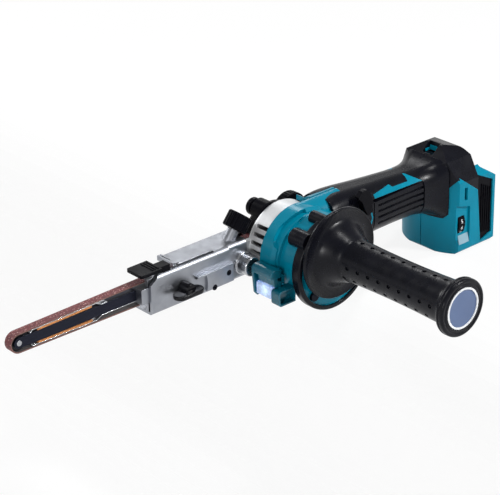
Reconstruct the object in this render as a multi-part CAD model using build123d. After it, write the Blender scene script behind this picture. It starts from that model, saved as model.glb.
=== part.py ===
from build123d import *
import math
import os

# Cordless narrow-belt sander. Millimetres; +X runs to the rear, -Y to the tool's left, +Z up.
# The origin is on the spindle axis, in the middle plane of the abrasive belt.

# Belt and pulleys
BELT_LENGTH = 533.0
BELT_WIDTH = 7.0
BELT_THICKNESS = 1.0
BELT_SEAT_GAP = 0.3
BELT_SIDE_GAP = 0.7
NOSE_ROLLER_RADIUS = 6.2
NOSE_ROLLER_WIDTH = 3.4
NOSE_PIN_RADIUS = 2.0
DRIVE_PULLEY_RADIUS = 9.4
PULLEY_CROWN = 0.3

# Clearances
PIN_FIT = 0.02
RUNNING_FIT = 0.05
SLIDE_FIT = 0.15
MOVING_GAP = 0.4
SEAM_GAP = 0.15

# Reach of cutting solids, past every piece
FAR = 400.0

# Sanding arm
BAR_HALF_HEIGHT = 4.0
BAR_WIDTH = 6.4
BAR_SEAT = 36.0
PLATEN_THICKNESS = 0.6
PLATEN_FRONT = 10.5
PLATEN_LENGTH = 56.0
PLATEN_JOGGLE = 5.0
PLATEN_LAP = 3.0
PAD_THICKNESS = 1.6
PAD_LENGTH = 47.0
PAD_INSET = 5.5
BLOCK_FRONT = -137.0
BLOCK_LENGTH = 41.0
BLOCK_CORE_HALF = 6.0
TAB_LENGTH = 19.0
TAB_WIDTH = 18.0
TAB_ROUND = 2.0
TAB_THICKNESS = 2.4
TAB_LIFT = 2.2
TAB_NECK_LENGTH = 7.0
TAB_NECK_WIDTH = 8.0
TAB_LEAD = 2.0
TAB_RIBS = 3
TAB_RIB_PITCH = 2.4
TAB_RIB_WIDTH = 1.0

# Arm holder
HOLDER_FRONT = -130.0
HOLDER_STEP = -55.0
HOLDER_REAR = -37.0
HOLDER_LEFT = -12.0
HOLDER_RIGHT = 12.0
HOLDER_FOOT = 8.0
HOLDER_TOP = 14.0
HOLDER_BOTTOM = -16.0
HOLDER_WALL = 2.2
HOLDER_TOP_ROUND = 4.0
HOLDER_LOW_ROUND = 2.8
HOLDER_NOSE_RISE = 6.0
HOLDER_NOSE_RUN = 9.0
HOLDER_DECK_FRONT = -104.5
NECK_STEP = 1.6
NECK_OVERLAP = 6.0
SLOT_FRONT = -117.0
SLOT_REAR = -68.0
SLOT_WIDTH = 2.8
RIDGE_WIDTH = 1.5
RIDGE_HEIGHT = 1.6
RIDGE_BUMP_RADIUS = 3.2
SIDE_PLATE_FRONT = -89.0
SIDE_PLATE_REAR = -53.5
SIDE_PLATE_TOP = 2.0
SIDE_PLATE_THICKNESS = 2.0
SIDE_PLATE_LEDGE = 1.4
SIDE_SCREW_PLACES = ((-58.0, -5.4), (-72.0, -12.6))
SIDE_SCREW_RADIUS = 1.6
SIDE_SCREW_HEAD = 2.3
SIDE_SCREW_SOCKET = 1.1
LEVER_X = -103.0
LEVER_Z = -7.0
LEVER_REACH = 20.0
LEVER_HUB_RADIUS = 6.2
LEVER_TIP_RADIUS = 4.0
LEVER_THICKNESS = 3.0
LEVER_PIN_RADIUS = 2.5
THUMB_BAR_RADIUS = 4.6
THUMB_BAR_LENGTH = 11.4
THUMB_BAR_LEAN = 65.0
SPRING_MEAN_RADIUS = 3.6
SPRING_WIRE = 1.2
SPRING_TURNS = 9
SPRING_SEAT_FRONT = -62.0

# Tracking knob, whose screw leans back over the arm's root
TRACK_X = -36.5
TRACK_Z = 24.5
TRACK_LEAN = 39.0
TRACK_KNOB_RADIUS = 9.6
TRACK_KNOB_LENGTH = 12.5
TRACK_SCREW_RADIUS = 2.0
TRACK_BOSS_RADIUS = 4.6
TRACK_FLUTES = 20
TRACK_FLUTE_RADIUS = 1.1
TRACK_FLUTE_OUT = 0.5
TRACK_CHAMFER = 0.8
TRACK_LID = 2.0

# Drive collar, side boss and belt cover
COLLAR_WALL = 3.0
COLLAR_FACE = 2.4
COLLAR_LEFT = -23.4
COLLAR_ROUND = 2.5
COLLAR_HUB_HOLE = 9.0
SLOT_PITCH = 11.6
SLOT_TOP_ANGLE = 40.0
SLOT_COUNT = 10
AIR_SLOT_WIDTH = 3.2
AIR_SLOT_RIGHT = -8.3
AIR_SLOT_LEFT = -21.4
TONGUE_HALF_HEIGHT = 10.5
BOSS_X = -41.5
BOSS_Z = -3.6
BOSS_RADIUS = 7.6
BOSS_FLANGE_RADIUS = 9.0
BOSS_FLANGE = 2.4
BOSS_BOLT_RADIUS = 3.0
BOSS_ROUND = 1.0
COVER_RADIUS = 28.5
COVER_WALL = 2.5
COVER_RIGHT = 7.0
COVER_NOSE = -47.0
CLAMP_X = 26.5
CLAMP_Z = 11.0
CLAMP_KNOB_RADIUS = 14.5
CLAMP_KNOB_LENGTH = 8.5
CLAMP_FLUTES = 28
CLAMP_FLUTE_RADIUS = 0.9
CLAMP_STUD_RADIUS = 2.5
CLAMP_EAR_RADIUS = 8.0
CLAMP_DISH_RADIUS = 8.0
CLAMP_DISH_DEPTH = 1.2
KNOB_ROUND = 0.8
COVER_ROUND = 3.0
BUTTON_X = -9.0
BUTTON_Z = 24.5
BUTTON_RADIUS = 7.0
BUTTON_LENGTH = 8.0
BUTTON_TRAVEL = 3.0
BUTTON_STEM_RADIUS = 2.5
BUTTON_EAR_RADIUS = 8.5
BUTTON_ROUND = 2.0

# Spindle and motor
SPINDLE_RADIUS = 4.0
SPINDLE_SHOULDER = 5.5
PULLEY_SCREW_DEPTH = 7.0
PULLEY_WASHER = 0.8
BEARING_RADIUS = 11.0
BEARING_WIDTH = 7.0
BEARING_BOSS = 14.0
BEARING_RACE = 1.6
SEAL_DEPTH = 0.4
RIGHT_BEARING_LEFT = -24.2
LEFT_BEARING_LEFT = -51.5
ROTOR_RADIUS = 13.0
STATOR_RADIUS = 26.0
STATOR_LEFT = -42.0
STATOR_RIGHT = -28.0
AIR_GAP = 0.6
STATOR_TEETH = 12
STATOR_YOKE = 4.0
FAN_LEFT = -16.4
FAN_RIGHT = -8.2
FAN_GAP = 3.4
FAN_BLADES = 11
FAN_DISC = 1.6
FAN_HUB_RADIUS = 8.0

# Motor case, band and bumper
BODY_Y = -24.0
CASE_X = 5.0
CASE_Z = -2.0
CASE_RADIUS = 34.0
CASE_END = -60.0
CASE_SHOULDER = -37.5
NECK_ROOT = 1.0
PLATE_LEFT = -24.2
PLATE_RIGHT = -20.6
BAND_RADIUS = 35.0
BAND_WALL = 3.2
BAND_LIP = 2.2
BAND_LEFT = -36.5
BAND_RIGHT = -22.6
BAND_CHAMFER = 2.4
NOTCH_DEPTH = 4.0
NOTCH_LOW = 12.0
NOTCH_MIDDLE = 17.0
NOTCH_HIGH = 26.0
BUMPER_RADIUS = 37.4
BUMPER_LEFT = -62.0
BUMPER_RIGHT = -53.0
BUMPER_EARS = ((136.0, 7.0), (101.0, 5.0))
BUMPER_EAR_RIGHT = -45.0
BUMPER_EAR_REACH = 35.0
CAP_RISE = 0.2
CAP_HALF_WIDTH = 13.0
CAP_DROP = 8.0
CAP_REAR = 42.0
CAP_WALL = 3.5
SHELL_WALL = 3.8
SHELL_FRONT = 17.0

# Lamp in front of the motor case
LAMP_DEPTH = 9.5
LAMP_REAR = -24.0
LAMP_LEFT = -52.0
LAMP_HOOD_LEFT = -46.0
LAMP_RIGHT = -24.6
LAMP_TOP = 1.5
LAMP_BOTTOM = -25.0
LAMP_WALL = 2.4
LAMP_BRACKET_TOP = -14.0
LAMP_SEAT = 1.0
LENS_DEPTH = 5.5
LENS_BULGE = 1.8
LAMP_BOARD = 1.4

# Side grip
GRIP_X = 5.15
GRIP_Z = 7.4
GRIP_GUARD_RADIUS = 35.9
GRIP_GUARD_RIGHT = -63.6
GRIP_GUARD_THICKNESS = 3.2
GRIP_RADIUS = 16.6
GRIP_WAIST_RADIUS = 15.6
GRIP_BELL_RADIUS = 25.0
GRIP_BELL_LENGTH = 22.0
GRIP_BELL_SAG = 0.28
GRIP_EDGE = 1.5
GRIP_END = -188.8
GRIP_FLANGE_RADIUS = 22.0
GRIP_FLANGE_LENGTH = 8.0
GRIP_COLLAR_RADIUS = 13.0
GRIP_STUD_RADIUS = 4.0
GRIP_STUD_DEPTH = 7.5
GRIP_STUD_SEAT = 30.0
END_RING_RADIUS = 15.6
END_RING_WALL = 1.5
END_CAP_DEPTH = 5.0
END_CAP_SINK = 0.6

# Handle and switch: station x, half width, lowest z, highest z, corner radius
HANDLE_WALL = 3.0
HANDLE_FRONT = (24.0, 19.0, -18.0, 33.5, 13.0)
HANDLE_NECK = (48.0, 18.5, -11.0, 34.0, 14.0)
HANDLE_GRASP = (74.0, 18.0, -9.0, 31.5, 14.0)
HANDLE_WAIST = (100.0, 17.5, -9.0, 29.5, 14.0)
HANDLE_HEEL = (124.0, 19.0, -10.5, 28.5, 14.0)
HANDLE_FLARE = (142.0, 25.0, -17.0, 33.0, 12.0)
PADDLE_FRONT = 66.0
PADDLE_REAR = 120.0
PADDLE_TOP = 21.0
PADDLE_WALL = 3.2
PADDLE_SWING = 2.5
PADDLE_CORE_LAP = 10.0
PADDLE_PIVOT_Z = 4.0
PADDLE_PIN_RADIUS = 2.0
PADDLE_PIN_COVER = 1.5
PADDLE_GROOVES = 4
PADDLE_GROOVE_TOP = 16.4
PADDLE_GROOVE_PITCH = 5.0
PADDLE_GROOVE_WIDTH = 2.0
PADDLE_GROOVE_DEPTH = 1.2
PADDLE_CUFF = 4.0
INSERT_DEPTH = 1.4
INSERT_TOP_GAP = 6.0
INSERT_OUTLINE = (
    (67.3, 23.6), (106.0, 22.2), (120.5, 22.2), (108.4, 29.5), (106.8, 25.0), (89.6, 25.8), (87.2, 27.9),
    (67.3, 26.6),
)
NECK_TRIM = ((61.4, 4.0), (62.7, 4.0), (64.3, 9.0), (63.2, 14.0), (61.9, 14.0), (63.0, 9.0))
LOCK_X = 54.0
LOCK_Z = 29.0
LOCK_THICKNESS = 4.2
LOCK_OUTLINE = (
    (43.2, 33.1, 1.2), (47.7, 28.7, 1.5), (51.2, 20.4, 1.5), (54.3, 15.4, 1.0), (59.3, 17.8, 1.2),
    (58.5, 23.5, 1.0), (59.6, 25.5, 1.0), (56.1, 34.9, 3.0), (52.2, 37.9, 3.0), (47.7, 36.9, 3.0),
)
LOCK_PIN_RADIUS = 2.2
LOCK_PIN_DEPTH = 8.0
SWITCH_FRONT = 80.0
SWITCH_LENGTH = 30.0
SWITCH_HEIGHT = 13.0
PLUNGER_RADIUS = 2.5

# Rear housing
REAR_FRONT = 137.0
REAR_CORNER = 148.0
REAR_END = 190.0
REAR_HALF_WIDTH = 31.0
REAR_TOP = 41.0
REAR_BOTTOM = -46.0
REAR_WALL = 3.0
REAR_CROWN = 7.0
REAR_SHOULDER = 22.0
REAR_SHOULDER_Z = 32.0
REAR_SIDE_TOP = 15.0
REAR_MITRE = 0.75
REAR_ROUND = 5.0
REAR_CHIN = 2.0
REAR_BROW = 14.0
REAR_CREST_X = 167.0
REAR_CREST_Z = 37.0
REAR_STEP_X = 174.0
REAR_STEP_Z = 21.5
REAR_LIP_Z = 10.8
REAR_RIM = 3.0
SEAM_GROOVE = 0.8
FACE_HALF_WIDTH = 24.0
FACE_LOW = -16.0
FACE_CHAMFER = 4.0
FACE_RISE = 11.0
CHEEK_PEAK_X = 149.5
CHEEK_PEAK = 19.0
CHEEK_REAR_Z = 3.8
BAY_FRONT = 169.5
BAY_HALF_WIDTH = 26.5
BAY_FLOOR = -43.0
WINDOW_TOP = 16.5
WINDOW_SLANT = 4.7
RAIL_DEPTH = 4.0
RAIL_FRONT = 179.5
RAIL_WALL = 3.0
RAIL_WINDOW_DEPTH = 1.2
STRAP_HOLE_X = 148.0
STRAP_HOLE_LENGTH = 9.0
STRAP_HOLE_WIDTH = 11.0
STRAP_HOLE_DEPTH = 8.0
DIAL_X = 152.4
DIAL_Z = -21.6
DIAL_RADIUS = 13.0
DIAL_WIDTH = 7.0
DIAL_SHOW = 1.6
DIAL_TEETH = 24
DIAL_TOOTH_RADIUS = 0.8
POCKET_FRONT = 144.0
POCKET_REAR = 161.0
POCKET_TOP = -3.0
POCKET_BOTTOM = -38.5
POCKET_DEPTH = 1.8
POCKET_SLANT = 5.0
VENT_X = 155.8
VENT_Z = 4.2
VENT_WIDTH = 3.4
VENT_HEIGHT = 11.0
TERMINAL_WIDTH = 40.0
TERMINAL_HEIGHT = 24.0
TERMINAL_DEPTH = 6.0
TERMINAL_Z = -4.0
TERMINAL_EDGE = 2.5
BLADE_THICKNESS = 1.0
BLADE_COUNT = 4
BOARD_THICKNESS = 1.6
CAPACITOR_RADIUS = 4.0
CAPACITOR_LENGTH = 6.0
CAPACITOR_Z = -20.0

# Fasteners
CASE_SCREW_RADIUS = 2.0
CASE_SCREW_HEAD = 3.8
CASE_SCREW_LENGTH = 14.0
CASE_SCREW_CIRCLE = 29.5
HEAD_HEIGHT = 2.2

# Worked out from the sizes above
NOSE_LOOP = NOSE_ROLLER_RADIUS + BELT_SEAT_GAP + BELT_THICKNESS / 2
DRIVE_LOOP = DRIVE_PULLEY_RADIUS + BELT_SEAT_GAP + BELT_THICKNESS / 2


def loop_length(centres):
    """Length of an open belt round the two pulleys at a given centre distance."""
    slope = math.asin((DRIVE_LOOP - NOSE_LOOP) / centres)
    wraps = NOSE_LOOP * (math.pi - 2 * slope) + DRIVE_LOOP * (math.pi + 2 * slope)
    return 2 * centres * math.cos(slope) + wraps


def centre_distance():
    """Distance of the pulleys that the belt length gives."""
    centres = BELT_LENGTH / 2
    for _ in range(12):
        centres += (BELT_LENGTH - loop_length(centres)) / 2
    return centres


CENTRES = centre_distance()
NOSE_X = -CENTRES
BELT_SLOPE = math.asin((DRIVE_LOOP - NOSE_LOOP) / CENTRES)
NECK_RADIUS = BAND_RADIUS - BAND_WALL
COLLAR_RADIUS = BAND_RADIUS - BAND_LIP - MOVING_GAP
COLLAR_RIGHT = -(BELT_WIDTH / 2 + BELT_SIDE_GAP)
COLLAR_BORE = COLLAR_RADIUS - COLLAR_WALL
FAN_RADIUS = COLLAR_BORE - FAN_GAP
SHELL_RADIUS = COLLAR_RADIUS + MOVING_GAP + SHELL_WALL
SHELL_RIGHT = COLLAR_RIGHT - COLLAR_FACE - MOVING_GAP
CAP_TOP = BAND_RADIUS + CAP_RISE
LAMP_BACK = -(BAND_RADIUS + LAMP_SEAT)
LAMP_FRONT = LAMP_BACK - LAMP_DEPTH
COVER_NOSE_HALF = HOLDER_TOP - HOLDER_WALL - SLIDE_FIT
BOSS_END = BAND_RIGHT + MOVING_GAP
HOLDER_INNER_LEFT = HOLDER_LEFT + HOLDER_WALL
NECK_LEFT = HOLDER_LEFT + NECK_STEP
NECK_INNER_LEFT = NECK_LEFT + HOLDER_WALL
BLOCK_REAR = BLOCK_FRONT + BLOCK_LENGTH
PLATEN_END = BLOCK_FRONT + PLATEN_LAP
SLOT_Y = HOLDER_INNER_LEFT + SLOT_WIDTH / 2
GRIP_GUARD_LEFT = GRIP_GUARD_RIGHT - GRIP_GUARD_THICKNESS
PADDLE_PIVOT_X = PADDLE_REAR - 2 * PADDLE_WALL
PADDLE_TRAVEL = (PADDLE_PIVOT_X - PADDLE_FRONT) * math.sin(math.radians(PADDLE_SWING))
CORE_INSET = PADDLE_WALL + MOVING_GAP + PADDLE_TRAVEL
PLUNGER_X = SWITCH_FRONT + SWITCH_LENGTH / 3
REAR_LEFT = BODY_Y - REAR_HALF_WIDTH


def box(x0, x1, y0, y1, z0, z1):
    """Box between two corners."""
    return Pos((x0 + x1) / 2, (y0 + y1) / 2, (z0 + z1) / 2) * Box(x1 - x0, y1 - y0, z1 - z0)


def rod(radius, y0, y1, x=0.0, z=0.0):
    """Round bar along Y."""
    return Pos(x, (y0 + y1) / 2, z) * Rot(90, 0, 0) * Cylinder(radius, y1 - y0)


def tube(outer, inner, y0, y1, x=0.0, z=0.0):
    """Round tube along Y."""
    return rod(outer, y0, y1, x, z) - rod(inner, y0, y1, x, z)


def outline(*corners):
    """Closed face through (u, v) corners; a third number rounds that corner."""
    points = [Vector(corner[0], corner[1]) for corner in corners]
    edges, ends = [], []
    for index, corner in enumerate(corners):
        point = points[index]
        if len(corner) < 3:
            ends.append((point, point))
            continue
        back = (points[index - 1] - point).normalized()
        ahead = (points[(index + 1) % len(points)] - point).normalized()
        half = math.acos(back.dot(ahead)) / 2
        cut = corner[2] / math.tan(half)
        middle = point + (back + ahead).normalized() * (corner[2] / math.sin(half) - corner[2])
        ends.append((point + back * cut, point + ahead * cut))
        edges.append(ThreePointArc(ends[-1][0], middle, ends[-1][1]))
    for index, (arrive, _) in enumerate(ends):
        leave = ends[index - 1][1]
        if (arrive - leave).length > 1e-6:
            edges.append(Line(leave, arrive))
    return make_face(edges)


def side_prism(face, y0, y1):
    """Outline in the XZ plane, extruded along Y."""
    return extrude(Plane.XZ.offset(-y1) * face, y1 - y0)


def front_prism(face, x0, x1):
    """Outline in the YZ plane, extruded along X."""
    return extrude(Plane.YZ.offset(x0) * face, x1 - x0)


def top_prism(face, z0, z1):
    """Outline in the XY plane, extruded along Z."""
    return extrude(Plane.XY.offset(z0) * face, z1 - z0)


def lathe(face, x=0.0, z=0.0):
    """Outline of radius and y, turned about the Y axis through (x, z)."""
    return Pos(x, 0, z) * revolve(face, Axis.Y)


def around(count, first, pitch):
    """Angles of a round pattern, in degrees."""
    return [first + index * pitch for index in range(count)]


def left_of_seam(solid):
    """Part of a solid on the tool's left of the body's middle plane."""
    return solid & box(-FAR, FAR, -FAR, BODY_Y, -FAR, FAR)


def right_of_seam(solid):
    """Part of a solid on the tool's right of the body's middle plane."""
    return solid & box(-FAR, FAR, BODY_Y, FAR, -FAR, FAR)


# Belt and nose


def loop_face(offset):
    """Face inside the belt's loop, offset from its middle line."""
    nose = NOSE_LOOP + offset
    drive = DRIVE_LOOP + offset
    sine, cosine = math.sin(BELT_SLOPE), math.cos(BELT_SLOPE)
    nose_top = (NOSE_X - nose * sine, nose * cosine)
    nose_low = (nose_top[0], -nose_top[1])
    drive_top = (-drive * sine, drive * cosine)
    drive_low = (drive_top[0], -drive_top[1])
    return make_face([
        Line(nose_top, drive_top),
        ThreePointArc(drive_top, (drive, 0), drive_low),
        Line(drive_low, nose_low),
        ThreePointArc(nose_low, (NOSE_X - nose, 0), nose_top),
    ])


def make_belt():
    half = BELT_THICKNESS / 2
    return side_prism(loop_face(half) - loop_face(-half), -BELT_WIDTH / 2, BELT_WIDTH / 2)


def crowned_roller(radius, bore, half_width):
    """Roller along Y that is a little larger in the middle, so that the belt centres itself."""
    rim = radius - PULLEY_CROWN
    face = make_face([
        Line((bore, -half_width), (rim, -half_width)),
        ThreePointArc((rim, -half_width), (radius, 0), (rim, half_width)),
        Line((rim, half_width), (bore, half_width)),
        Line((bore, half_width), (bore, -half_width)),
    ])
    return lathe(face)


def make_nose_roller():
    roller = crowned_roller(NOSE_ROLLER_RADIUS, NOSE_PIN_RADIUS + RUNNING_FIT, NOSE_ROLLER_WIDTH / 2)
    return Pos(NOSE_X, 0, 0) * roller


def make_nose_pin():
    return rod(NOSE_PIN_RADIUS, -BAR_WIDTH / 2 - PULLEY_CROWN, BAR_WIDTH / 2 + PULLEY_CROWN, NOSE_X)


# Sanding arm


def make_arm_bar():
    """Bar with a round forked nose that holds the roller between two cheeks."""
    rear = BLOCK_FRONT + BAR_SEAT
    half = BAR_WIDTH / 2
    face = make_face([
        Line((rear, BAR_HALF_HEIGHT), (NOSE_X, BAR_HALF_HEIGHT)),
        ThreePointArc((NOSE_X, BAR_HALF_HEIGHT), (NOSE_X - BAR_HALF_HEIGHT, 0), (NOSE_X, -BAR_HALF_HEIGHT)),
        Line((NOSE_X, -BAR_HALF_HEIGHT), (rear, -BAR_HALF_HEIGHT)),
        Line((rear, -BAR_HALF_HEIGHT), (rear, BAR_HALF_HEIGHT)),
    ])
    bar = side_prism(face, -half, half)
    fork = NOSE_ROLLER_WIDTH / 2 + SLIDE_FIT
    bar -= rod(NOSE_ROLLER_RADIUS + MOVING_GAP, -fork, fork, NOSE_X)
    bar -= rod(NOSE_PIN_RADIUS + PIN_FIT, -half, half, NOSE_X)
    return bar


def run_height(x, inward):
    """Height of the upper belt run's inner face at x, less a distance inward."""
    middle = (NOSE_LOOP / math.cos(BELT_SLOPE)) + (x - NOSE_X) * math.tan(BELT_SLOPE)
    return middle - BELT_THICKNESS / 2 - inward


def strip(points, radius):
    """Bent flat strip along a centre line in the XZ plane."""
    face = trace(FilletPolyline(*points, radius=radius), PLATEN_THICKNESS)
    return side_prism(face, -BAR_WIDTH / 2, BAR_WIDTH / 2)


def platen_points():
    """Centre line of the upper spring platen, from its front tab to its joggle onto the bar."""
    front = NOSE_X + PLATEN_FRONT
    rear = front + PLATEN_LENGTH
    centre = BELT_SEAT_GAP + PLATEN_THICKNESS / 2
    seat = BAR_HALF_HEIGHT + PLATEN_THICKNESS / 2
    return [
        (front - PLATEN_THICKNESS, seat),
        (front + PLATEN_THICKNESS, run_height(front + PLATEN_THICKNESS, centre)),
        (rear, run_height(rear, centre)),
        (rear + PLATEN_JOGGLE, seat),
    ]


def make_upper_platen():
    """Upper platen, whose tail ends in a short flat on the bar."""
    points = platen_points()
    tail = (points[-1][0] + PLATEN_JOGGLE, points[-1][1])
    return strip(points + [tail], PLATEN_THICKNESS)


def make_lower_platen():
    """Lower platen, whose long tail runs back along the bar to the slide block."""
    points = platen_points()
    tail = (PLATEN_END, points[-1][1])
    low = [(x, -z) for x, z in points + [tail]]
    return strip(low, PLATEN_THICKNESS)


def make_pad(side):
    """Springy pad glued to the inner face of a platen; side is +1 for the upper one."""
    front = NOSE_X + PLATEN_FRONT + PAD_INSET
    rear = front + PAD_LENGTH
    top = BELT_SEAT_GAP + PLATEN_THICKNESS
    low = top + PAD_THICKNESS
    face = outline(
        (front, side * run_height(front, top)),
        (rear, side * run_height(rear, top)),
        (rear, side * run_height(rear, low)),
        (front, side * run_height(front, low)),
    )
    return side_prism(face, -BAR_WIDTH / 2, BAR_WIDTH / 2)


def make_slide_block():
    """Die-cast block that slides in the holder and clasps the bar, with room for both belt runs."""
    left = HOLDER_INNER_LEFT + SLIDE_FIT
    right = BELT_WIDTH / 2 + BELT_SIDE_GAP
    web_right = -(BELT_WIDTH / 2 + BELT_SIDE_GAP)
    high = HOLDER_TOP - HOLDER_WALL - SLIDE_FIT
    low = HOLDER_BOTTOM + HOLDER_WALL + SLIDE_FIT
    core = box(BLOCK_FRONT, BLOCK_REAR, left, right, -BLOCK_CORE_HALF, BLOCK_CORE_HALF)
    rail = HOLDER_WALL
    corner = left + HOLDER_TOP_ROUND - HOLDER_WALL
    web = box(HOLDER_FRONT, BLOCK_REAR, corner, corner + rail, low, high)
    shoes = box(HOLDER_FRONT, BLOCK_REAR, corner, web_right, low, low + rail)
    shoes += box(HOLDER_FRONT, BLOCK_REAR, corner, web_right, high - rail, high)
    block = core + web + shoes
    half = BAR_WIDTH / 2
    block -= box(BLOCK_FRONT, BLOCK_FRONT + BAR_SEAT, -half, half, -BAR_HALF_HEIGHT, BAR_HALF_HEIGHT)
    tail = BAR_HALF_HEIGHT + PLATEN_THICKNESS + SLIDE_FIT
    block -= box(BLOCK_FRONT, PLATEN_END + SLIDE_FIT, -half, half, -tail, 0)
    return block


def make_thumb_tab():
    """Thumb tab in front of the slot, whose neck goes down through the slot to the slide block."""
    low = HOLDER_TOP + TAB_LIFT
    top = low + TAB_THICKNESS
    rear = SLOT_FRONT - TAB_LEAD
    front = rear - TAB_LENGTH
    left = SLOT_Y - SLOT_WIDTH / 2 + SLIDE_FIT
    right = SLOT_Y + SLOT_WIDTH / 2 - SLIDE_FIT
    plate_left = HOLDER_LEFT
    plate_right = HOLDER_LEFT + TAB_WIDTH
    tab = top_prism(outline(
        (front, plate_left, TAB_ROUND), (rear, plate_left),
        (rear, plate_right), (front, plate_right, TAB_ROUND),
    ), low, top)
    neck_rear = SLOT_FRONT + TAB_NECK_LENGTH
    tab += box(rear, neck_rear, left, left + TAB_NECK_WIDTH, low, top)
    tab += box(SLOT_FRONT + SLIDE_FIT, neck_rear, left, right, HOLDER_TOP - HOLDER_WALL - SLIDE_FIT, low)
    for index in range(TAB_RIBS):
        rib = rear - (index + 1) * TAB_RIB_PITCH
        tab += box(rib, rib + TAB_RIB_WIDTH, plate_left + TAB_ROUND, plate_right - TAB_ROUND,
                   top, top + PLATEN_THICKNESS)
    return tab


# Arm holder


def channel(left, right, foot):
    """C section open to the right, with rounded left corners."""
    wall = HOLDER_WALL
    return outline(
        (right, HOLDER_TOP),
        (left, HOLDER_TOP, HOLDER_TOP_ROUND),
        (left, HOLDER_BOTTOM, HOLDER_LOW_ROUND),
        (foot, HOLDER_BOTTOM),
        (foot, HOLDER_BOTTOM + wall),
        (left + wall, HOLDER_BOTTOM + wall, HOLDER_LOW_ROUND - wall),
        (left + wall, HOLDER_TOP - wall, HOLDER_TOP_ROUND - wall),
        (right, HOLDER_TOP - wall),
    )


def track_axis(distance):
    """Point on the tracking screw's axis, measured up from the middle of its knob."""
    lean = math.radians(TRACK_LEAN)
    return (TRACK_X + distance * math.sin(lean), 0, TRACK_Z + distance * math.cos(lean))


def track_rod(radius, low, high):
    """Round bar along the tracking screw's axis."""
    middle = track_axis((low + high) / 2)
    return Pos(*middle) * Rot(0, TRACK_LEAN, 0) * Cylinder(radius, high - low)


def make_arm_holder():
    """Aluminium channel that guides the arm, with a narrower neck at its root."""
    holder = front_prism(channel(HOLDER_LEFT, HOLDER_RIGHT, HOLDER_FOOT), HOLDER_FRONT, HOLDER_STEP)
    neck = channel(NECK_LEFT, HOLDER_RIGHT, HOLDER_FOOT)
    holder += front_prism(neck, HOLDER_STEP - NECK_OVERLAP, HOLDER_REAR)
    top = HOLDER_TOP
    nose_end = HOLDER_FRONT + HOLDER_NOSE_RUN
    holder -= side_prism(outline(
        (HOLDER_FRONT, top - HOLDER_NOSE_RISE), (nose_end, top), (nose_end, FAR), (HOLDER_FRONT, FAR),
    ), HOLDER_LEFT, HOLDER_RIGHT)
    deck_left = SLOT_Y + SLOT_WIDTH / 2
    holder -= box(HOLDER_FRONT, HOLDER_DECK_FRONT, deck_left, HOLDER_RIGHT, top - HOLDER_WALL, top)
    holder -= box(SLOT_FRONT, SLOT_REAR, SLOT_Y - SLOT_WIDTH / 2, deck_left, top - HOLDER_TOP_ROUND, top)
    for index in range(2):
        front = HOLDER_DECK_FRONT + index * 1.6 * RIDGE_WIDTH
        holder += box(front, front + RIDGE_WIDTH, deck_left + 1, HOLDER_RIGHT, top, top + RIDGE_HEIGHT)
    bump = Pos(HOLDER_DECK_FRONT + 2 * RIDGE_WIDTH, deck_left + RIDGE_BUMP_RADIUS, top + RIDGE_HEIGHT / 2)
    holder += bump * Cylinder(RIDGE_BUMP_RADIUS, RIDGE_HEIGHT)
    foot = track_axis(-TRACK_KNOB_LENGTH / 2 - MOVING_GAP)
    reach = (foot[2] - top) / math.cos(math.radians(TRACK_LEAN))
    low = -TRACK_KNOB_LENGTH / 2 - MOVING_GAP - reach - TRACK_BOSS_RADIUS
    boss = track_rod(TRACK_BOSS_RADIUS, low, -TRACK_KNOB_LENGTH / 2 - MOVING_GAP)
    holder += boss & box(HOLDER_STEP, 0, HOLDER_LEFT, HOLDER_RIGHT, top - HOLDER_WALL, 2 * top)
    holder -= track_rod(TRACK_SCREW_RADIUS + RUNNING_FIT, low - top, 0)
    holder -= rod(BOSS_BOLT_RADIUS + PIN_FIT, NECK_LEFT, NECK_INNER_LEFT, BOSS_X, BOSS_Z)
    holder -= rod(LEVER_PIN_RADIUS + RUNNING_FIT, HOLDER_LEFT, HOLDER_INNER_LEFT, LEVER_X, LEVER_Z)
    for x, z in SIDE_SCREW_PLACES:
        holder -= rod(SIDE_SCREW_RADIUS + PIN_FIT, HOLDER_LEFT, NECK_INNER_LEFT, x, z)
    return holder


def make_side_plate():
    """Plate with a ledge on the holder's left wall, cut away for the swing of the cam lever."""
    low = HOLDER_BOTTOM + HOLDER_LOW_ROUND
    left = HOLDER_LEFT - SIDE_PLATE_THICKNESS
    plate = side_prism(outline(
        (SIDE_PLATE_FRONT, SIDE_PLATE_TOP), (SIDE_PLATE_REAR, SIDE_PLATE_TOP),
        (SIDE_PLATE_REAR, low), (SIDE_PLATE_FRONT, low),
    ), left, HOLDER_LEFT)
    plate += box(SIDE_PLATE_FRONT, SIDE_PLATE_REAR, left - SIDE_PLATE_LEDGE, HOLDER_LEFT,
                 SIDE_PLATE_TOP - SIDE_PLATE_LEDGE, SIDE_PLATE_TOP)
    sweep_radius = LEVER_REACH + LEVER_TIP_RADIUS + MOVING_GAP
    sweep_top = LEVER_Z + LEVER_HUB_RADIUS + MOVING_GAP
    swept = rod(sweep_radius, left, HOLDER_LEFT, LEVER_X, LEVER_Z)
    plate -= swept & box(LEVER_X, SIDE_PLATE_REAR, left, HOLDER_LEFT, 2 * HOLDER_BOTTOM, sweep_top)
    for x, z in SIDE_SCREW_PLACES:
        plate -= rod(SIDE_SCREW_RADIUS + PIN_FIT, left, HOLDER_LEFT, x, z)
        plate -= rod(SIDE_SCREW_HEAD + PIN_FIT, left, left + SIDE_PLATE_THICKNESS / 2, x, z)
    return plate


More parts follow.
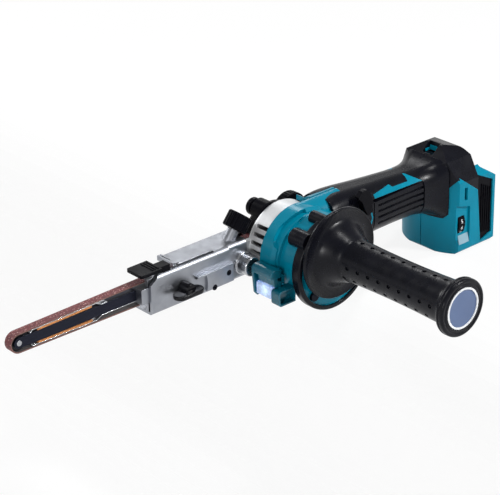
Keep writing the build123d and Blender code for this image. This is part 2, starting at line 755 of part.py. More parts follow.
def make_side_plate_screws():
    """Two sunk screws through the side plate into the holder."""
    left = HOLDER_LEFT - SIDE_PLATE_THICKNESS
    screws = []
    for x, z in SIDE_SCREW_PLACES:
        screw = rod(SIDE_SCREW_RADIUS, left, HOLDER_INNER_LEFT, x, z)
        screw += rod(SIDE_SCREW_HEAD, left, left + SIDE_PLATE_THICKNESS / 2, x, z)
        hexagon = extrude(RegularPolygon(SIDE_SCREW_SOCKET, 6), SIDE_PLATE_THICKNESS / 2, both=True)
        screws.append(screw - Pos(x, left, z) * Rot(90, 0, 0) * hexagon)
    return screws


def make_cam_lever():
    """Pear-shaped lever with a half-round thumb bar, turning on its own pin in the holder's wall."""
    right = HOLDER_LEFT - SLIDE_FIT
    left = right - LEVER_THICKNESS
    tip_x = LEVER_X + LEVER_REACH
    plate = rod(LEVER_HUB_RADIUS, left, right, LEVER_X, LEVER_Z)
    plate += rod(LEVER_TIP_RADIUS, left, right, tip_x, LEVER_Z)
    sine = (LEVER_HUB_RADIUS - LEVER_TIP_RADIUS) / LEVER_REACH
    cosine = math.sqrt(1 - sine**2)
    hub = (LEVER_X + LEVER_HUB_RADIUS * sine, LEVER_HUB_RADIUS * cosine)
    tip = (tip_x + LEVER_TIP_RADIUS * sine, LEVER_TIP_RADIUS * cosine)
    plate += side_prism(outline(
        (hub[0], LEVER_Z + hub[1]), (tip[0], LEVER_Z + tip[1]),
        (tip[0], LEVER_Z - tip[1]), (hub[0], LEVER_Z - hub[1]),
    ), left, right)
    place = Pos(LEVER_X, left, LEVER_Z) * Rot(0, THUMB_BAR_LEAN, 0)
    bar = place * Cylinder(THUMB_BAR_RADIUS, THUMB_BAR_LENGTH)
    plate += bar & box(LEVER_X - 2 * LEVER_HUB_RADIUS, tip_x, left - THUMB_BAR_RADIUS, left, -FAR, FAR)
    pin = rod(LEVER_PIN_RADIUS, right, HOLDER_INNER_LEFT, LEVER_X, LEVER_Z)
    return plate + pin


def biarc(start, start_way, end, end_way):
    """Two arcs that join two points and are tangent to a direction at each."""
    span = end - start
    both = start_way + end_way
    turn = 2 * (1 - start_way.dot(end_way))
    along = span.dot(both)
    reach = (-along + math.sqrt(along**2 + turn * span.dot(span))) / turn
    joint = (start + start_way * reach + end - end_way * reach) * 0.5
    joint_way = (end - end_way * reach) - (start + start_way * reach)
    return [TangentArc(start, joint, tangent=start_way), TangentArc(joint, end, tangent=joint_way)]


def make_tension_spring():
    """Coil spring that pushes the arm forward, wound as quarter turns along X."""
    front = BLOCK_REAR + SPRING_WIRE / 2 + SLIDE_FIT
    rear = SPRING_SEAT_FRONT - SPRING_WIRE / 2 - SLIDE_FIT
    axis_y = (HOLDER_INNER_LEFT + BELT_WIDTH / 2 + BELT_SIDE_GAP) / 2
    steps = 4 * SPRING_TURNS
    pitch = (rear - front) / SPRING_TURNS
    points, ways = [], []
    for step in range(steps + 1):
        angle = step * math.pi / 2
        y = axis_y + SPRING_MEAN_RADIUS * math.cos(angle)
        z = SPRING_MEAN_RADIUS * math.sin(angle)
        points.append(Vector(front + step * pitch / 4, y, z))
        round_way = SPRING_MEAN_RADIUS * 2 * math.pi
        way = Vector(pitch, -round_way * math.sin(angle), round_way * math.cos(angle))
        ways.append(way.normalized())
    edges = []
    for step in range(steps):
        edges += biarc(points[step], ways[step], points[step + 1], ways[step + 1])
    print("spring, least gap between turns:", round(pitch - SPRING_WIRE, 2))
    section = Plane(origin=points[0], z_dir=ways[0]) * Circle(SPRING_WIRE / 2)
    return sweep(section, path=Wire(edges))


# Tracking knob


def make_tracking_knob():
    """Fluted knob on the tracking screw."""
    half = TRACK_KNOB_LENGTH / 2
    knob = Cylinder(TRACK_KNOB_RADIUS, TRACK_KNOB_LENGTH)
    knob = chamfer(knob.edges().filter_by(GeomType.CIRCLE), TRACK_CHAMFER)
    flute = Pos(TRACK_KNOB_RADIUS + TRACK_FLUTE_OUT, 0, 0) * Cylinder(TRACK_FLUTE_RADIUS, TRACK_KNOB_LENGTH)
    for angle in around(TRACK_FLUTES, 0, 360 / TRACK_FLUTES):
        knob -= Rot(0, 0, angle) * flute
    lid = Pos(0, 0, half) * Cylinder(TRACK_KNOB_RADIUS, 2 * TRACK_LID)
    knob -= Cylinder(TRACK_SCREW_RADIUS + PIN_FIT, TRACK_KNOB_LENGTH) - lid
    return Pos(TRACK_X, 0, TRACK_Z) * Rot(0, TRACK_LEAN, 0) * knob


def make_tracking_screw():
    """Screw from inside the knob down to the collar's tongue."""
    top = TRACK_KNOB_LENGTH / 2 - TRACK_LID
    tip_z = TONGUE_HALF_HEIGHT + MOVING_GAP + TRACK_SCREW_RADIUS * math.sin(math.radians(TRACK_LEAN))
    low = -(TRACK_Z - tip_z) / math.cos(math.radians(TRACK_LEAN))
    return track_rod(TRACK_SCREW_RADIUS, low, top)


# Drive collar, side boss and belt cover


def make_drive_collar():
    """Ring casting round the fan, with air slots and the tongue that carries the arm holder."""
    inner_face = COLLAR_RIGHT - COLLAR_FACE
    collar = lathe(outline(
        (COLLAR_BORE, COLLAR_LEFT), (COLLAR_RADIUS, COLLAR_LEFT),
        (COLLAR_RADIUS, COLLAR_RIGHT, COLLAR_ROUND), (COLLAR_HUB_HOLE, COLLAR_RIGHT),
        (COLLAR_HUB_HOLE, inner_face), (COLLAR_BORE, inner_face),
    ))
    length = AIR_SLOT_RIGHT - AIR_SLOT_LEFT
    middle = (AIR_SLOT_RIGHT + AIR_SLOT_LEFT) / 2
    face = Plane(origin=(-COLLAR_RADIUS - 1, middle, 0), x_dir=(0, 1, 0), z_dir=(1, 0, 0))
    slot = extrude(face * SlotOverall(length, AIR_SLOT_WIDTH), COLLAR_WALL + 2)
    for angle in around(SLOT_COUNT, SLOT_TOP_ANGLE, -SLOT_PITCH):
        collar -= Rot(0, angle, 0) * slot
    tongue_left = NECK_INNER_LEFT + SEAM_GAP
    half = TONGUE_HALF_HEIGHT
    tongue = side_prism(outline(
        (SPRING_SEAT_FRONT, half / 2), (HOLDER_STEP, half), (-COLLAR_BORE + 1, half),
        (-COLLAR_BORE + 1, -half), (HOLDER_STEP, -half), (SPRING_SEAT_FRONT, -half / 2),
    ), tongue_left, COLLAR_RIGHT)
    seat_right = BELT_WIDTH / 2 + BELT_SIDE_GAP
    seat_rear = SPRING_SEAT_FRONT + 2 * HOLDER_WALL
    tongue += box(SPRING_SEAT_FRONT, seat_rear, tongue_left, seat_right, -half / 2, half / 2)
    collar += tongue
    collar -= rod(BOSS_BOLT_RADIUS + PIN_FIT, tongue_left, COLLAR_RIGHT, BOSS_X, BOSS_Z)
    collar -= rod(CLAMP_STUD_RADIUS + RUNNING_FIT, inner_face, COLLAR_RIGHT, CLAMP_X, CLAMP_Z)
    return collar


def make_side_boss():
    """Turned boss that clamps the holder's neck to the collar's tongue."""
    flange_left = NECK_LEFT - BOSS_FLANGE
    boss = lathe(outline(
        (0, NECK_LEFT), (BOSS_FLANGE_RADIUS, NECK_LEFT), (BOSS_FLANGE_RADIUS, flange_left, BOSS_ROUND),
        (BOSS_RADIUS, flange_left), (BOSS_RADIUS, BOSS_END, BOSS_ROUND), (0, BOSS_END),
    ), BOSS_X, BOSS_Z)
    return boss - rod(BOSS_BOLT_RADIUS + PIN_FIT, flange_left, NECK_LEFT, BOSS_X, BOSS_Z)


def make_boss_bolt():
    """Bolt from the boss through the neck and the tongue."""
    return rod(BOSS_BOLT_RADIUS, NECK_LEFT - BOSS_FLANGE, COLLAR_RIGHT, BOSS_X, BOSS_Z)


def make_belt_cover():
    """Dished cover over the drive pulley, open in front where the belt leaves."""
    outer = lathe(outline(
        (0, COLLAR_RIGHT), (COVER_RADIUS, COLLAR_RIGHT), (COVER_RADIUS, COVER_RIGHT, COVER_ROUND),
        (0, COVER_RIGHT),
    ))
    outer += box(COVER_NOSE, 0, COLLAR_RIGHT, COVER_RIGHT, -COVER_NOSE_HALF, COVER_NOSE_HALF)
    inside = COVER_RIGHT - COVER_WALL
    hollow = rod(COVER_RADIUS - COVER_WALL, COLLAR_RIGHT, inside)
    hollow += box(COVER_NOSE, 0, COLLAR_RIGHT, inside, -COVER_NOSE_HALF, COVER_NOSE_HALF)
    cover = outer - hollow
    for x, z, radius in ((CLAMP_X, CLAMP_Z, CLAMP_EAR_RADIUS), (BUTTON_X, BUTTON_Z, BUTTON_EAR_RADIUS)):
        ear = rod(radius, COLLAR_RIGHT, COVER_RIGHT, x, z)
        cover += ear - rod(COVER_RADIUS - COVER_WALL, COLLAR_RIGHT, inside)
    cover -= rod(CLAMP_STUD_RADIUS + RUNNING_FIT, COLLAR_RIGHT, COVER_RIGHT, CLAMP_X, CLAMP_Z)
    cover -= rod(BUTTON_STEM_RADIUS + RUNNING_FIT, COLLAR_RIGHT, COVER_RIGHT, BUTTON_X, BUTTON_Z)
    return cover


def make_clamp_knob():
    """Knurled knob with its stud, which holds the belt cover on the collar."""
    left = COVER_RIGHT + SLIDE_FIT
    right = left + CLAMP_KNOB_LENGTH
    knob = lathe(outline(
        (0, left), (CLAMP_KNOB_RADIUS, left, KNOB_ROUND), (CLAMP_KNOB_RADIUS, right, 2 * KNOB_ROUND),
        (0, right),
    ), CLAMP_X, CLAMP_Z)
    knob -= rod(CLAMP_DISH_RADIUS, right - CLAMP_DISH_DEPTH, right, CLAMP_X, CLAMP_Z)
    flute = rod(CLAMP_FLUTE_RADIUS, left, right, CLAMP_KNOB_RADIUS + CLAMP_FLUTE_RADIUS / 3)
    for angle in around(CLAMP_FLUTES, 0, 360 / CLAMP_FLUTES):
        knob -= Pos(CLAMP_X, 0, CLAMP_Z) * Rot(0, angle, 0) * flute
    return knob + rod(CLAMP_STUD_RADIUS, COLLAR_RIGHT - COLLAR_FACE, left, CLAMP_X, CLAMP_Z)


def make_release_button():
    """Smooth push button with its stem in the belt cover."""
    left = COVER_RIGHT + BUTTON_TRAVEL + SLIDE_FIT
    right = left + BUTTON_LENGTH - BUTTON_TRAVEL
    button = lathe(outline(
        (0, left), (BUTTON_RADIUS, left), (BUTTON_RADIUS, right, BUTTON_ROUND), (0, right),
    ), BUTTON_X, BUTTON_Z)
    stem_end = COLLAR_RIGHT + BUTTON_TRAVEL + SLIDE_FIT
    return button + rod(BUTTON_STEM_RADIUS, stem_end, left, BUTTON_X, BUTTON_Z)


# Spindle and motor


def make_spindle():
    """Motor shaft with a shoulder for the rotor and a threaded nose for the pulley screw."""
    end = BELT_WIDTH / 2
    shaft = rod(SPINDLE_RADIUS, LEFT_BEARING_LEFT + SLIDE_FIT, end)
    shaft += rod(SPINDLE_SHOULDER, LEFT_BEARING_LEFT + BEARING_WIDTH + SLIDE_FIT, STATOR_LEFT)
    shaft += rod(SPINDLE_SHOULDER, STATOR_RIGHT, RIGHT_BEARING_LEFT - SLIDE_FIT)
    return shaft - rod(SPINDLE_RADIUS / 2 + PIN_FIT, end - PULLEY_SCREW_DEPTH - MOVING_GAP, end)


def make_drive_pulley():
    half = BELT_WIDTH / 2
    pulley = crowned_roller(DRIVE_PULLEY_RADIUS, SPINDLE_RADIUS + PIN_FIT, half)
    return pulley


def make_pulley_screw():
    """Cap screw that holds the pulley on the spindle."""
    end = BELT_WIDTH / 2
    screw = rod(SPINDLE_RADIUS / 2, end - PULLEY_SCREW_DEPTH, end)
    washer = rod(SPINDLE_SHOULDER, end, end + PULLEY_WASHER)
    return screw + washer


def make_rotor():
    return tube(ROTOR_RADIUS, SPINDLE_RADIUS + PIN_FIT, STATOR_LEFT, STATOR_RIGHT)


def make_stator():
    """Ring with inward teeth and a wound bundle on each tooth."""
    bore = ROTOR_RADIUS + AIR_GAP
    yoke = tube(STATOR_RADIUS, STATOR_RADIUS - STATOR_YOKE, STATOR_LEFT, STATOR_RIGHT)
    width = bore * math.sin(math.pi / STATOR_TEETH)
    tooth = box(bore, STATOR_RADIUS - STATOR_YOKE / 2, STATOR_LEFT, STATOR_RIGHT, -width / 2, width / 2)
    for angle in around(STATOR_TEETH, 0, 360 / STATOR_TEETH):
        yoke += Rot(0, angle, 0) * tooth
    return yoke


def make_fan():
    """Radial fan on the spindle, inside the drive collar."""
    fan = rod(FAN_HUB_RADIUS, FAN_LEFT, FAN_RIGHT)
    fan += rod(FAN_RADIUS, FAN_LEFT, FAN_LEFT + FAN_DISC)
    blade = box(FAN_HUB_RADIUS - FAN_DISC, FAN_RADIUS, FAN_LEFT, FAN_RIGHT, -FAN_DISC / 2, FAN_DISC / 2)
    for angle in around(FAN_BLADES, 0, 360 / FAN_BLADES):
        fan += Rot(0, angle, 0) * blade
    return fan - rod(SPINDLE_RADIUS + PIN_FIT, FAN_LEFT, FAN_RIGHT)


def make_bearing(left):
    """Ball bearing as one ring with a seal groove in each face."""
    right = left + BEARING_WIDTH
    ring = tube(BEARING_RADIUS, SPINDLE_RADIUS + RUNNING_FIT, left, right)
    wide = BEARING_RADIUS - BEARING_RACE
    slim = SPINDLE_RADIUS + BEARING_RACE
    return ring - tube(wide, slim, left, left + SEAL_DEPTH) - tube(wide, slim, right - SEAL_DEPTH, right)


# Motor case, band and bumper


def make_motor_case():
    """Cup round the motor, with bearing boss, thick end wall and grip thread."""
    case = rod(CASE_RADIUS, CASE_END, CASE_SHOULDER, CASE_X, CASE_Z)
    case += rod(NECK_RADIUS, CASE_SHOULDER - NECK_ROOT, PLATE_LEFT)
    cavity = rod(STATOR_RADIUS + SEAM_GAP, LEFT_BEARING_LEFT, PLATE_LEFT)
    boss = tube(BEARING_BOSS, BEARING_RADIUS + PIN_FIT, LEFT_BEARING_LEFT, LEFT_BEARING_LEFT + BEARING_WIDTH)
    case -= cavity - boss
    case -= rod(GRIP_STUD_RADIUS + PIN_FIT, CASE_END, CASE_END + GRIP_STUD_DEPTH, GRIP_X, GRIP_Z)
    for x, z in case_screw_places():
        case -= rod(CASE_SCREW_RADIUS + PIN_FIT, CASE_END, CASE_END + CASE_SCREW_LENGTH, x, z)
    return case


def case_screw_places():
    """Four screw places on the motor case's end face."""
    return [
        (CASE_X + CASE_SCREW_CIRCLE * math.cos(math.radians(angle)),
         CASE_Z + CASE_SCREW_CIRCLE * math.sin(math.radians(angle)))
        for angle in around(4, 45, 90)
    ]


def make_case_screws():
    screws = []
    for x, z in case_screw_places():
        screw = rod(CASE_SCREW_RADIUS, CASE_END, CASE_END + CASE_SCREW_LENGTH, x, z)
        screw += rod(CASE_SCREW_HEAD, CASE_END - HEAD_HEIGHT, CASE_END, x, z)
        screws.append(screw)
    return screws


def make_bearing_plate():
    """Plate on the case's right end that holds the right bearing and carries the drive collar."""
    hub_right = RIGHT_BEARING_LEFT + BEARING_WIDTH
    plate = rod(COLLAR_BORE - RUNNING_FIT, PLATE_LEFT, PLATE_RIGHT)
    plate += rod(BEARING_BOSS, PLATE_LEFT, hub_right)
    return plate - rod(BEARING_RADIUS + PIN_FIT, PLATE_LEFT, hub_right)


def cap_section(depth):
    """Lens-shaped section of the top cap in the YZ plane."""
    half = CAP_HALF_WIDTH - depth
    top = CAP_TOP - depth
    low = CAP_TOP - CAP_DROP - 2 * CAP_WALL
    shoulder = CAP_TOP - CAP_DROP
    return make_face([
        ThreePointArc((BODY_Y - half, shoulder - depth), (BODY_Y, top), (BODY_Y + half, shoulder - depth)),
        Line((BODY_Y + half, shoulder - depth), (BODY_Y + half, low)),
        Line((BODY_Y + half, low), (BODY_Y - half, low)),
        Line((BODY_Y - half, low), (BODY_Y - half, shoulder - depth)),
    ])


def make_cap():
    """Top cap that runs back from the band, open underneath."""
    cap = front_prism(cap_section(0), 0, CAP_REAR)
    return cap - front_prism(cap_section(CAP_WALL), 0, CAP_REAR - CAP_WALL)


def head_clearance(extra):
    """Space of the round head that the pieces behind it keep out of."""
    room = rod(NECK_RADIUS + extra, CASE_SHOULDER - NECK_ROOT - extra, PLATE_LEFT + extra)
    room += rod(COLLAR_RADIUS + MOVING_GAP, PLATE_LEFT, COLLAR_RIGHT + 3 * COLLAR_WALL)
    return room + rod(CASE_RADIUS + extra, 2 * CASE_END, CASE_SHOULDER + extra, CASE_X, CASE_Z)


def make_head_band():
    """Band round the neck of the motor case, with the left half of the top cap."""
    bore = NECK_RADIUS + SEAM_GAP / 2
    wide = COLLAR_RADIUS + MOVING_GAP
    band = lathe(outline(
        (bore, BAND_LEFT), (BAND_RADIUS - BAND_CHAMFER, BAND_LEFT), (BAND_RADIUS, BAND_LEFT + BAND_CHAMFER),
        (BAND_RADIUS, BAND_RIGHT), (wide, BAND_RIGHT), (wide, PLATE_LEFT), (bore, PLATE_LEFT),
    ))
    notch = BAND_LEFT + NOTCH_DEPTH
    band -= front_prism(outline(
        (-FAR, NOTCH_LOW), (BAND_LEFT, NOTCH_LOW), (notch, NOTCH_MIDDLE), (notch + 1, NOTCH_HIGH),
        (BAND_LEFT + NOTCH_DEPTH / 2, BAND_RADIUS), (BAND_LEFT + NOTCH_DEPTH / 2, FAR), (-FAR, FAR),
    ), -FAR, 0)
    cap = left_of_seam(make_cap()) - head_clearance(SEAM_GAP)
    return band + (cap - rod(BAND_RADIUS - 1, BAND_LEFT - 4, BAND_RIGHT + 4))


def make_right_shell():
    """Right half of the head's rear, which wraps the drive collar and carries half of the cap."""
    inner = COLLAR_RADIUS + MOVING_GAP
    wrap = tube(SHELL_RADIUS, inner, BAND_RIGHT + SEAM_GAP, SHELL_RIGHT)
    wrap &= box(SHELL_FRONT, 2 * SHELL_RADIUS, BAND_RIGHT, SHELL_RIGHT, -2 * SHELL_RADIUS, 2 * SHELL_RADIUS)
    cap = make_cap() & box(SHELL_FRONT, CAP_REAR, BAND_RIGHT + SEAM_GAP, SHELL_RIGHT, 0, CAP_TOP)
    return wrap + (cap - rod(inner, BAND_LEFT, SHELL_RIGHT))


def bumper_ears():
    """Two lugs on the upper front of the bumper."""
    ears = []
    for angle, radius in BUMPER_EARS:
        x = CASE_X + BUMPER_EAR_REACH * math.cos(math.radians(angle))
        z = CASE_Z + BUMPER_EAR_REACH * math.sin(math.radians(angle))
        ears.append(rod(radius, BUMPER_LEFT + 1, BUMPER_EAR_RIGHT, x, z))
    return ears


def make_bumper_ring():
    """Rubber bumper round the case's end."""
    bore = CASE_RADIUS + SEAM_GAP / 2
    ring = lathe(outline(
        (bore, BUMPER_LEFT), (BUMPER_RADIUS, BUMPER_LEFT, 1.5),
        (BUMPER_RADIUS, BUMPER_RIGHT, 2.5), (bore, BUMPER_RIGHT),
    ), CASE_X, CASE_Z)
    for ear in bumper_ears():
        ring += ear
    return ring - rod(bore, 2 * BUMPER_LEFT, 0, CASE_X, CASE_Z)


# Lamp


def make_lamp_housing():
    """Hooded lamp bracket in front of the motor case."""
    top = LAMP_TOP
    hood = side_prism(outline(
        (LAMP_FRONT, top - 4, 1.2), (LAMP_FRONT + 2, top, 1.2), (LAMP_REAR, top), (LAMP_REAR, top - 6),
        (LAMP_FRONT + 3, top - 6),
    ), LAMP_HOOD_LEFT, LAMP_RIGHT)
    cheek = side_prism(outline(
        (LAMP_FRONT, top - 3), (LAMP_REAR, top - 3),
        (LAMP_REAR, LAMP_BOTTOM), (LAMP_FRONT + 4, LAMP_BOTTOM, 2),
    ), LAMP_RIGHT - LAMP_WALL, LAMP_RIGHT)
    back = box(LAMP_BACK, LAMP_REAR, LAMP_LEFT, LAMP_RIGHT, LAMP_BOTTOM, top - 3)
    front = LAMP_FRONT + LAMP_WALL
    bracket = box(front, LAMP_REAR, LAMP_LEFT, LAMP_HOOD_LEFT + LAMP_WALL, LAMP_BOTTOM - 1, LAMP_BRACKET_TOP)
    wall = LAMP_WALL / 2
    bracket -= box(front + wall, LAMP_REAR, LAMP_LEFT, LAMP_HOOD_LEFT,
                   LAMP_BOTTOM - 1 + wall, LAMP_BRACKET_TOP - wall)
    return hood + cheek + bracket + back - lamp_clearance()


def lamp_clearance():
    """Round head behind the lamp, with the band that goes round it."""
    return head_clearance(SEAM_GAP) + rod(BAND_RADIUS + SEAM_GAP, BAND_LEFT - SEAM_GAP, BAND_RIGHT + 2)


def make_lamp_board():
    """Circuit board behind the lens."""
    board = box(LAMP_BACK - LAMP_BOARD, LAMP_BACK, LAMP_HOOD_LEFT + LAMP_WALL, LAMP_RIGHT - LAMP_WALL,
                LAMP_BOTTOM + 2, LAMP_TOP - 6)
    return board - lamp_clearance()


def make_lamp_lens():
    """Clear lens block under the hood, with a bulged front."""
    rear = LAMP_BACK - LAMP_BOARD
    front = rear - LENS_DEPTH
    face = outline(
        (rear, LAMP_TOP - 6), (front, LAMP_TOP - 6), (front - LENS_BULGE, (LAMP_TOP + LAMP_BOTTOM) / 2, 4),
        (front, LAMP_BOTTOM + 2), (rear, LAMP_BOTTOM + 2),
    )
    return side_prism(face, LAMP_HOOD_LEFT + LAMP_WALL, LAMP_RIGHT - LAMP_WALL)


# Side grip


def make_side_grip():
    """Rubber grip turned as one profile: guard disc, bell, barrel and end flange."""
    flange = GRIP_END + GRIP_FLANGE_LENGTH
    bell_end = GRIP_GUARD_LEFT - GRIP_BELL_LENGTH
    middle = (bell_end + flange) / 2
    bell_mid = (GRIP_GUARD_LEFT + bell_end) / 2
    bell_bow = GRIP_RADIUS + (GRIP_BELL_RADIUS - GRIP_RADIUS) * GRIP_BELL_SAG
    profile = make_face([
        Polyline((0, GRIP_GUARD_RIGHT), (GRIP_GUARD_RADIUS, GRIP_GUARD_RIGHT),
                 (GRIP_GUARD_RADIUS, GRIP_GUARD_LEFT + GRIP_EDGE),
                 (GRIP_GUARD_RADIUS - GRIP_EDGE, GRIP_GUARD_LEFT),
                 (GRIP_BELL_RADIUS, GRIP_GUARD_LEFT)),
        ThreePointArc((GRIP_BELL_RADIUS, GRIP_GUARD_LEFT), (bell_bow, bell_mid), (GRIP_RADIUS, bell_end)),
        ThreePointArc((GRIP_RADIUS, bell_end), (GRIP_WAIST_RADIUS, middle), (GRIP_RADIUS, flange)),
        Polyline((GRIP_RADIUS, flange), (GRIP_FLANGE_RADIUS - GRIP_EDGE, flange - GRIP_EDGE),
                 (GRIP_FLANGE_RADIUS, flange - 2 * GRIP_EDGE), (GRIP_FLANGE_RADIUS, GRIP_END + GRIP_EDGE),
                 (GRIP_FLANGE_RADIUS - GRIP_EDGE, GRIP_END), (0, GRIP_END), (0, GRIP_GUARD_RIGHT)),
    ])
    grip = lathe(profile, GRIP_X, GRIP_Z)
    grip += rod(GRIP_COLLAR_RADIUS, GRIP_GUARD_RIGHT, CASE_END, GRIP_X, GRIP_Z)
    grip -= rod(GRIP_STUD_RADIUS + PIN_FIT, GRIP_GUARD_LEFT - GRIP_STUD_SEAT, CASE_END, GRIP_X, GRIP_Z)
    return grip - rod(END_RING_RADIUS + PIN_FIT, GRIP_END, GRIP_END + END_CAP_DEPTH, GRIP_X, GRIP_Z)


def make_grip_stud():
    """Threaded stud moulded into the grip and screwed into the motor case."""
    return rod(GRIP_STUD_RADIUS, GRIP_GUARD_LEFT - GRIP_STUD_SEAT, CASE_END + GRIP_STUD_DEPTH, GRIP_X, GRIP_Z)


def make_grip_end_ring():
    inner = END_RING_RADIUS - END_RING_WALL
    return tube(END_RING_RADIUS, inner, GRIP_END, GRIP_END + END_CAP_DEPTH, GRIP_X, GRIP_Z)


def make_grip_end_cap():
    radius = END_RING_RADIUS - END_RING_WALL - PIN_FIT
    return rod(radius, GRIP_END + END_CAP_SINK, GRIP_END + END_CAP_DEPTH, GRIP_X, GRIP_Z)


# Handle and switch


def handle_form(inset):
    """Handle's outer form, drawn in by a distance."""
    sections = []
    stations = (HANDLE_FRONT, HANDLE_NECK, HANDLE_GRASP, HANDLE_WAIST, HANDLE_HEEL, HANDLE_FLARE)
    for x, half_width, low, high, radius in stations:
        plane = Plane.YZ.offset(x) * Pos(BODY_Y, (low + high) / 2)
        width = 2 * (half_width - inset)
        sections.append(plane * RectangleRounded(width, high - low - 2 * inset, radius - inset))
    return loft(sections)


def paddle_space(gap, swing):
    """Lower side of the handle that the paddle takes up, with room for a swing in degrees about its pin."""
    turn = math.sin(math.radians(swing))
    front = PADDLE_FRONT - gap - (PADDLE_PIVOT_Z - HANDLE_GRASP[2]) * turn
    rear = PADDLE_REAR + gap + (PADDLE_TOP - PADDLE_PIVOT_Z) * turn
    rise = PADDLE_TOP + gap
    lifted = rise + (PADDLE_PIVOT_X - front) * turn
    return side_prism(outline((front, -FAR), (rear, -FAR), (rear, rise), (front, lifted)), -FAR, FAR)


def paddle_core():
    """Inner block of the handle that the paddle straddles, with room all round for the squeeze."""
    front = PADDLE_FRONT - PADDLE_CORE_LAP
    return handle_form(CORE_INSET) & box(front, PADDLE_REAR + PADDLE_CORE_LAP, -FAR, FAR, -FAR, FAR)


def make_switch_paddle():
    """Squeeze paddle wrapped round the handle's underside, grooved along its sides behind a smooth cuff."""
    paddle = (handle_form(0) - handle_form(PADDLE_WALL)) & paddle_space(0, 0)
    floor = HANDLE_WAIST[1] - PADDLE_GROOVE_DEPTH
    for index in range(PADDLE_GROOVES):
        z = PADDLE_GROOVE_TOP - index * PADDLE_GROOVE_PITCH
        groove = box(PADDLE_FRONT + PADDLE_CUFF, FAR, -FAR, FAR, z, z + PADDLE_GROOVE_WIDTH)
        paddle -= groove - box(0, FAR, BODY_Y - floor, BODY_Y + floor, -FAR, FAR)
    reach = paddle_pin_reach() + SLIDE_FIT
    return paddle - rod(PADDLE_PIN_RADIUS + RUNNING_FIT, BODY_Y - reach, BODY_Y + reach,
                        PADDLE_PIVOT_X, PADDLE_PIVOT_Z)


def paddle_pin_reach():
    """Reach of the paddle's pin to each side, which leaves the paddle's skin whole."""
    return HANDLE_WAIST[1] - PADDLE_PIN_COVER


def make_paddle_pin():
    """Pin through the handle on which the paddle turns."""
    reach = paddle_pin_reach()
    return rod(PADDLE_PIN_RADIUS, BODY_Y - reach, BODY_Y + reach, PADDLE_PIVOT_X, PADDLE_PIVOT_Z)


def insert_region():
    """Side view of the trim: the insert on the handle's flank and the strip in front of the paddle."""
    return side_prism(outline(*INSERT_OUTLINE), -FAR, FAR) + side_prism(outline(*NECK_TRIM), -FAR, FAR)


def make_grip_inserts():
    """Coloured trim let into the handle's left and right flanks."""
    skin = (handle_form(0) - handle_form(INSERT_DEPTH)) & insert_region()
    left = skin & box(0, FAR, -FAR, BODY_Y - INSERT_TOP_GAP, -FAR, FAR)
    right = skin & box(0, FAR, BODY_Y + INSERT_TOP_GAP, FAR, -FAR, FAR)
    return left.solids() + right.solids()


def make_lock_lever():
    """Hooked lock-off lever on the handle's left flank, in front of the paddle."""
    right = BODY_Y - HANDLE_NECK[1] - MOVING_GAP
    lever = side_prism(outline(*LOCK_OUTLINE), right - LOCK_THICKNESS, right)
    return lever + rod(LOCK_PIN_RADIUS, right, right + LOCK_PIN_DEPTH, LOCK_X, LOCK_Z)


def core_floor():
    """Height of the floor inside the handle, over the paddle's squeeze room."""
    return HANDLE_GRASP[2] + CORE_INSET + 2 * HANDLE_WALL


def make_switch_body():
    """Switch on the handle's inner floor, with its plunger over the paddle."""
    half_width = HANDLE_WAIST[1] - CORE_INSET - 2 * HANDLE_WALL
    floor = core_floor()
    body = box(SWITCH_FRONT, SWITCH_FRONT + SWITCH_LENGTH, BODY_Y - half_width, BODY_Y + half_width,
               floor, floor + SWITCH_HEIGHT)
    tip = HANDLE_GRASP[2] + PADDLE_WALL + PADDLE_TRAVEL
    return body + Pos(PLUNGER_X, BODY_Y, (tip + floor) / 2) * Cylinder(PLUNGER_RADIUS, floor - tip)


def rear_form(inset):
    """Rear housing: the overlap of its front, side and top outlines, drawn in by a distance."""
    half = REAR_HALF_WIDTH - inset
    top = REAR_TOP - inset
    low = REAR_BOTTOM + inset
    mitre = REAR_MITRE * inset
    flank = [
        (half - REAR_CHIN, low), (half, low + REAR_CHIN), (half, REAR_SIDE_TOP - inset + mitre),
        (REAR_SHOULDER - mitre, REAR_SHOULDER_Z - mitre), (REAR_CROWN - inset + mitre, top),
    ]
    right_flank = [(BODY_Y + across, z) for across, z in flank]
    left_flank = [(BODY_Y - across, z) for across, z in reversed(flank)]
    front_view = outline(*right_flank, *left_flank)
    front = REAR_FRONT + inset
    end = REAR_END - inset
    side_view = outline(
        (front, top - REAR_BROW, REAR_ROUND - inset), (front + REAR_BROW, top, REAR_ROUND - inset),
        (REAR_CREST_X - inset, REAR_CREST_Z - inset, REAR_ROUND - inset),
        (REAR_STEP_X - inset, REAR_STEP_Z - inset, REAR_ROUND + inset),
        (end, REAR_LIP_Z - inset), (end, low + REAR_CHIN), (end - REAR_CHIN, low), (front + REAR_CHIN, low),
        (front, low + REAR_CHIN),
    )
    corner = REAR_CORNER + mitre
    top_view = make_face([
        ThreePointArc((corner, BODY_Y - half), (front, BODY_Y), (corner, BODY_Y + half)),
        Polyline((corner, BODY_Y + half), (end, BODY_Y + half),
                 (end, BODY_Y - half), (corner, BODY_Y - half)),
    ])
    solid = front_prism(front_view, 0, FAR)
    solid &= side_prism(side_view, -FAR, FAR)
    return solid & top_prism(top_view, -FAR, FAR)


def battery_bay():
    """Space for the battery's foot, open to the rear and the top."""
    return box(BAY_FRONT, FAR, BODY_Y - BAY_HALF_WIDTH, BODY_Y + BAY_HALF_WIDTH, BAY_FLOOR, FAR)


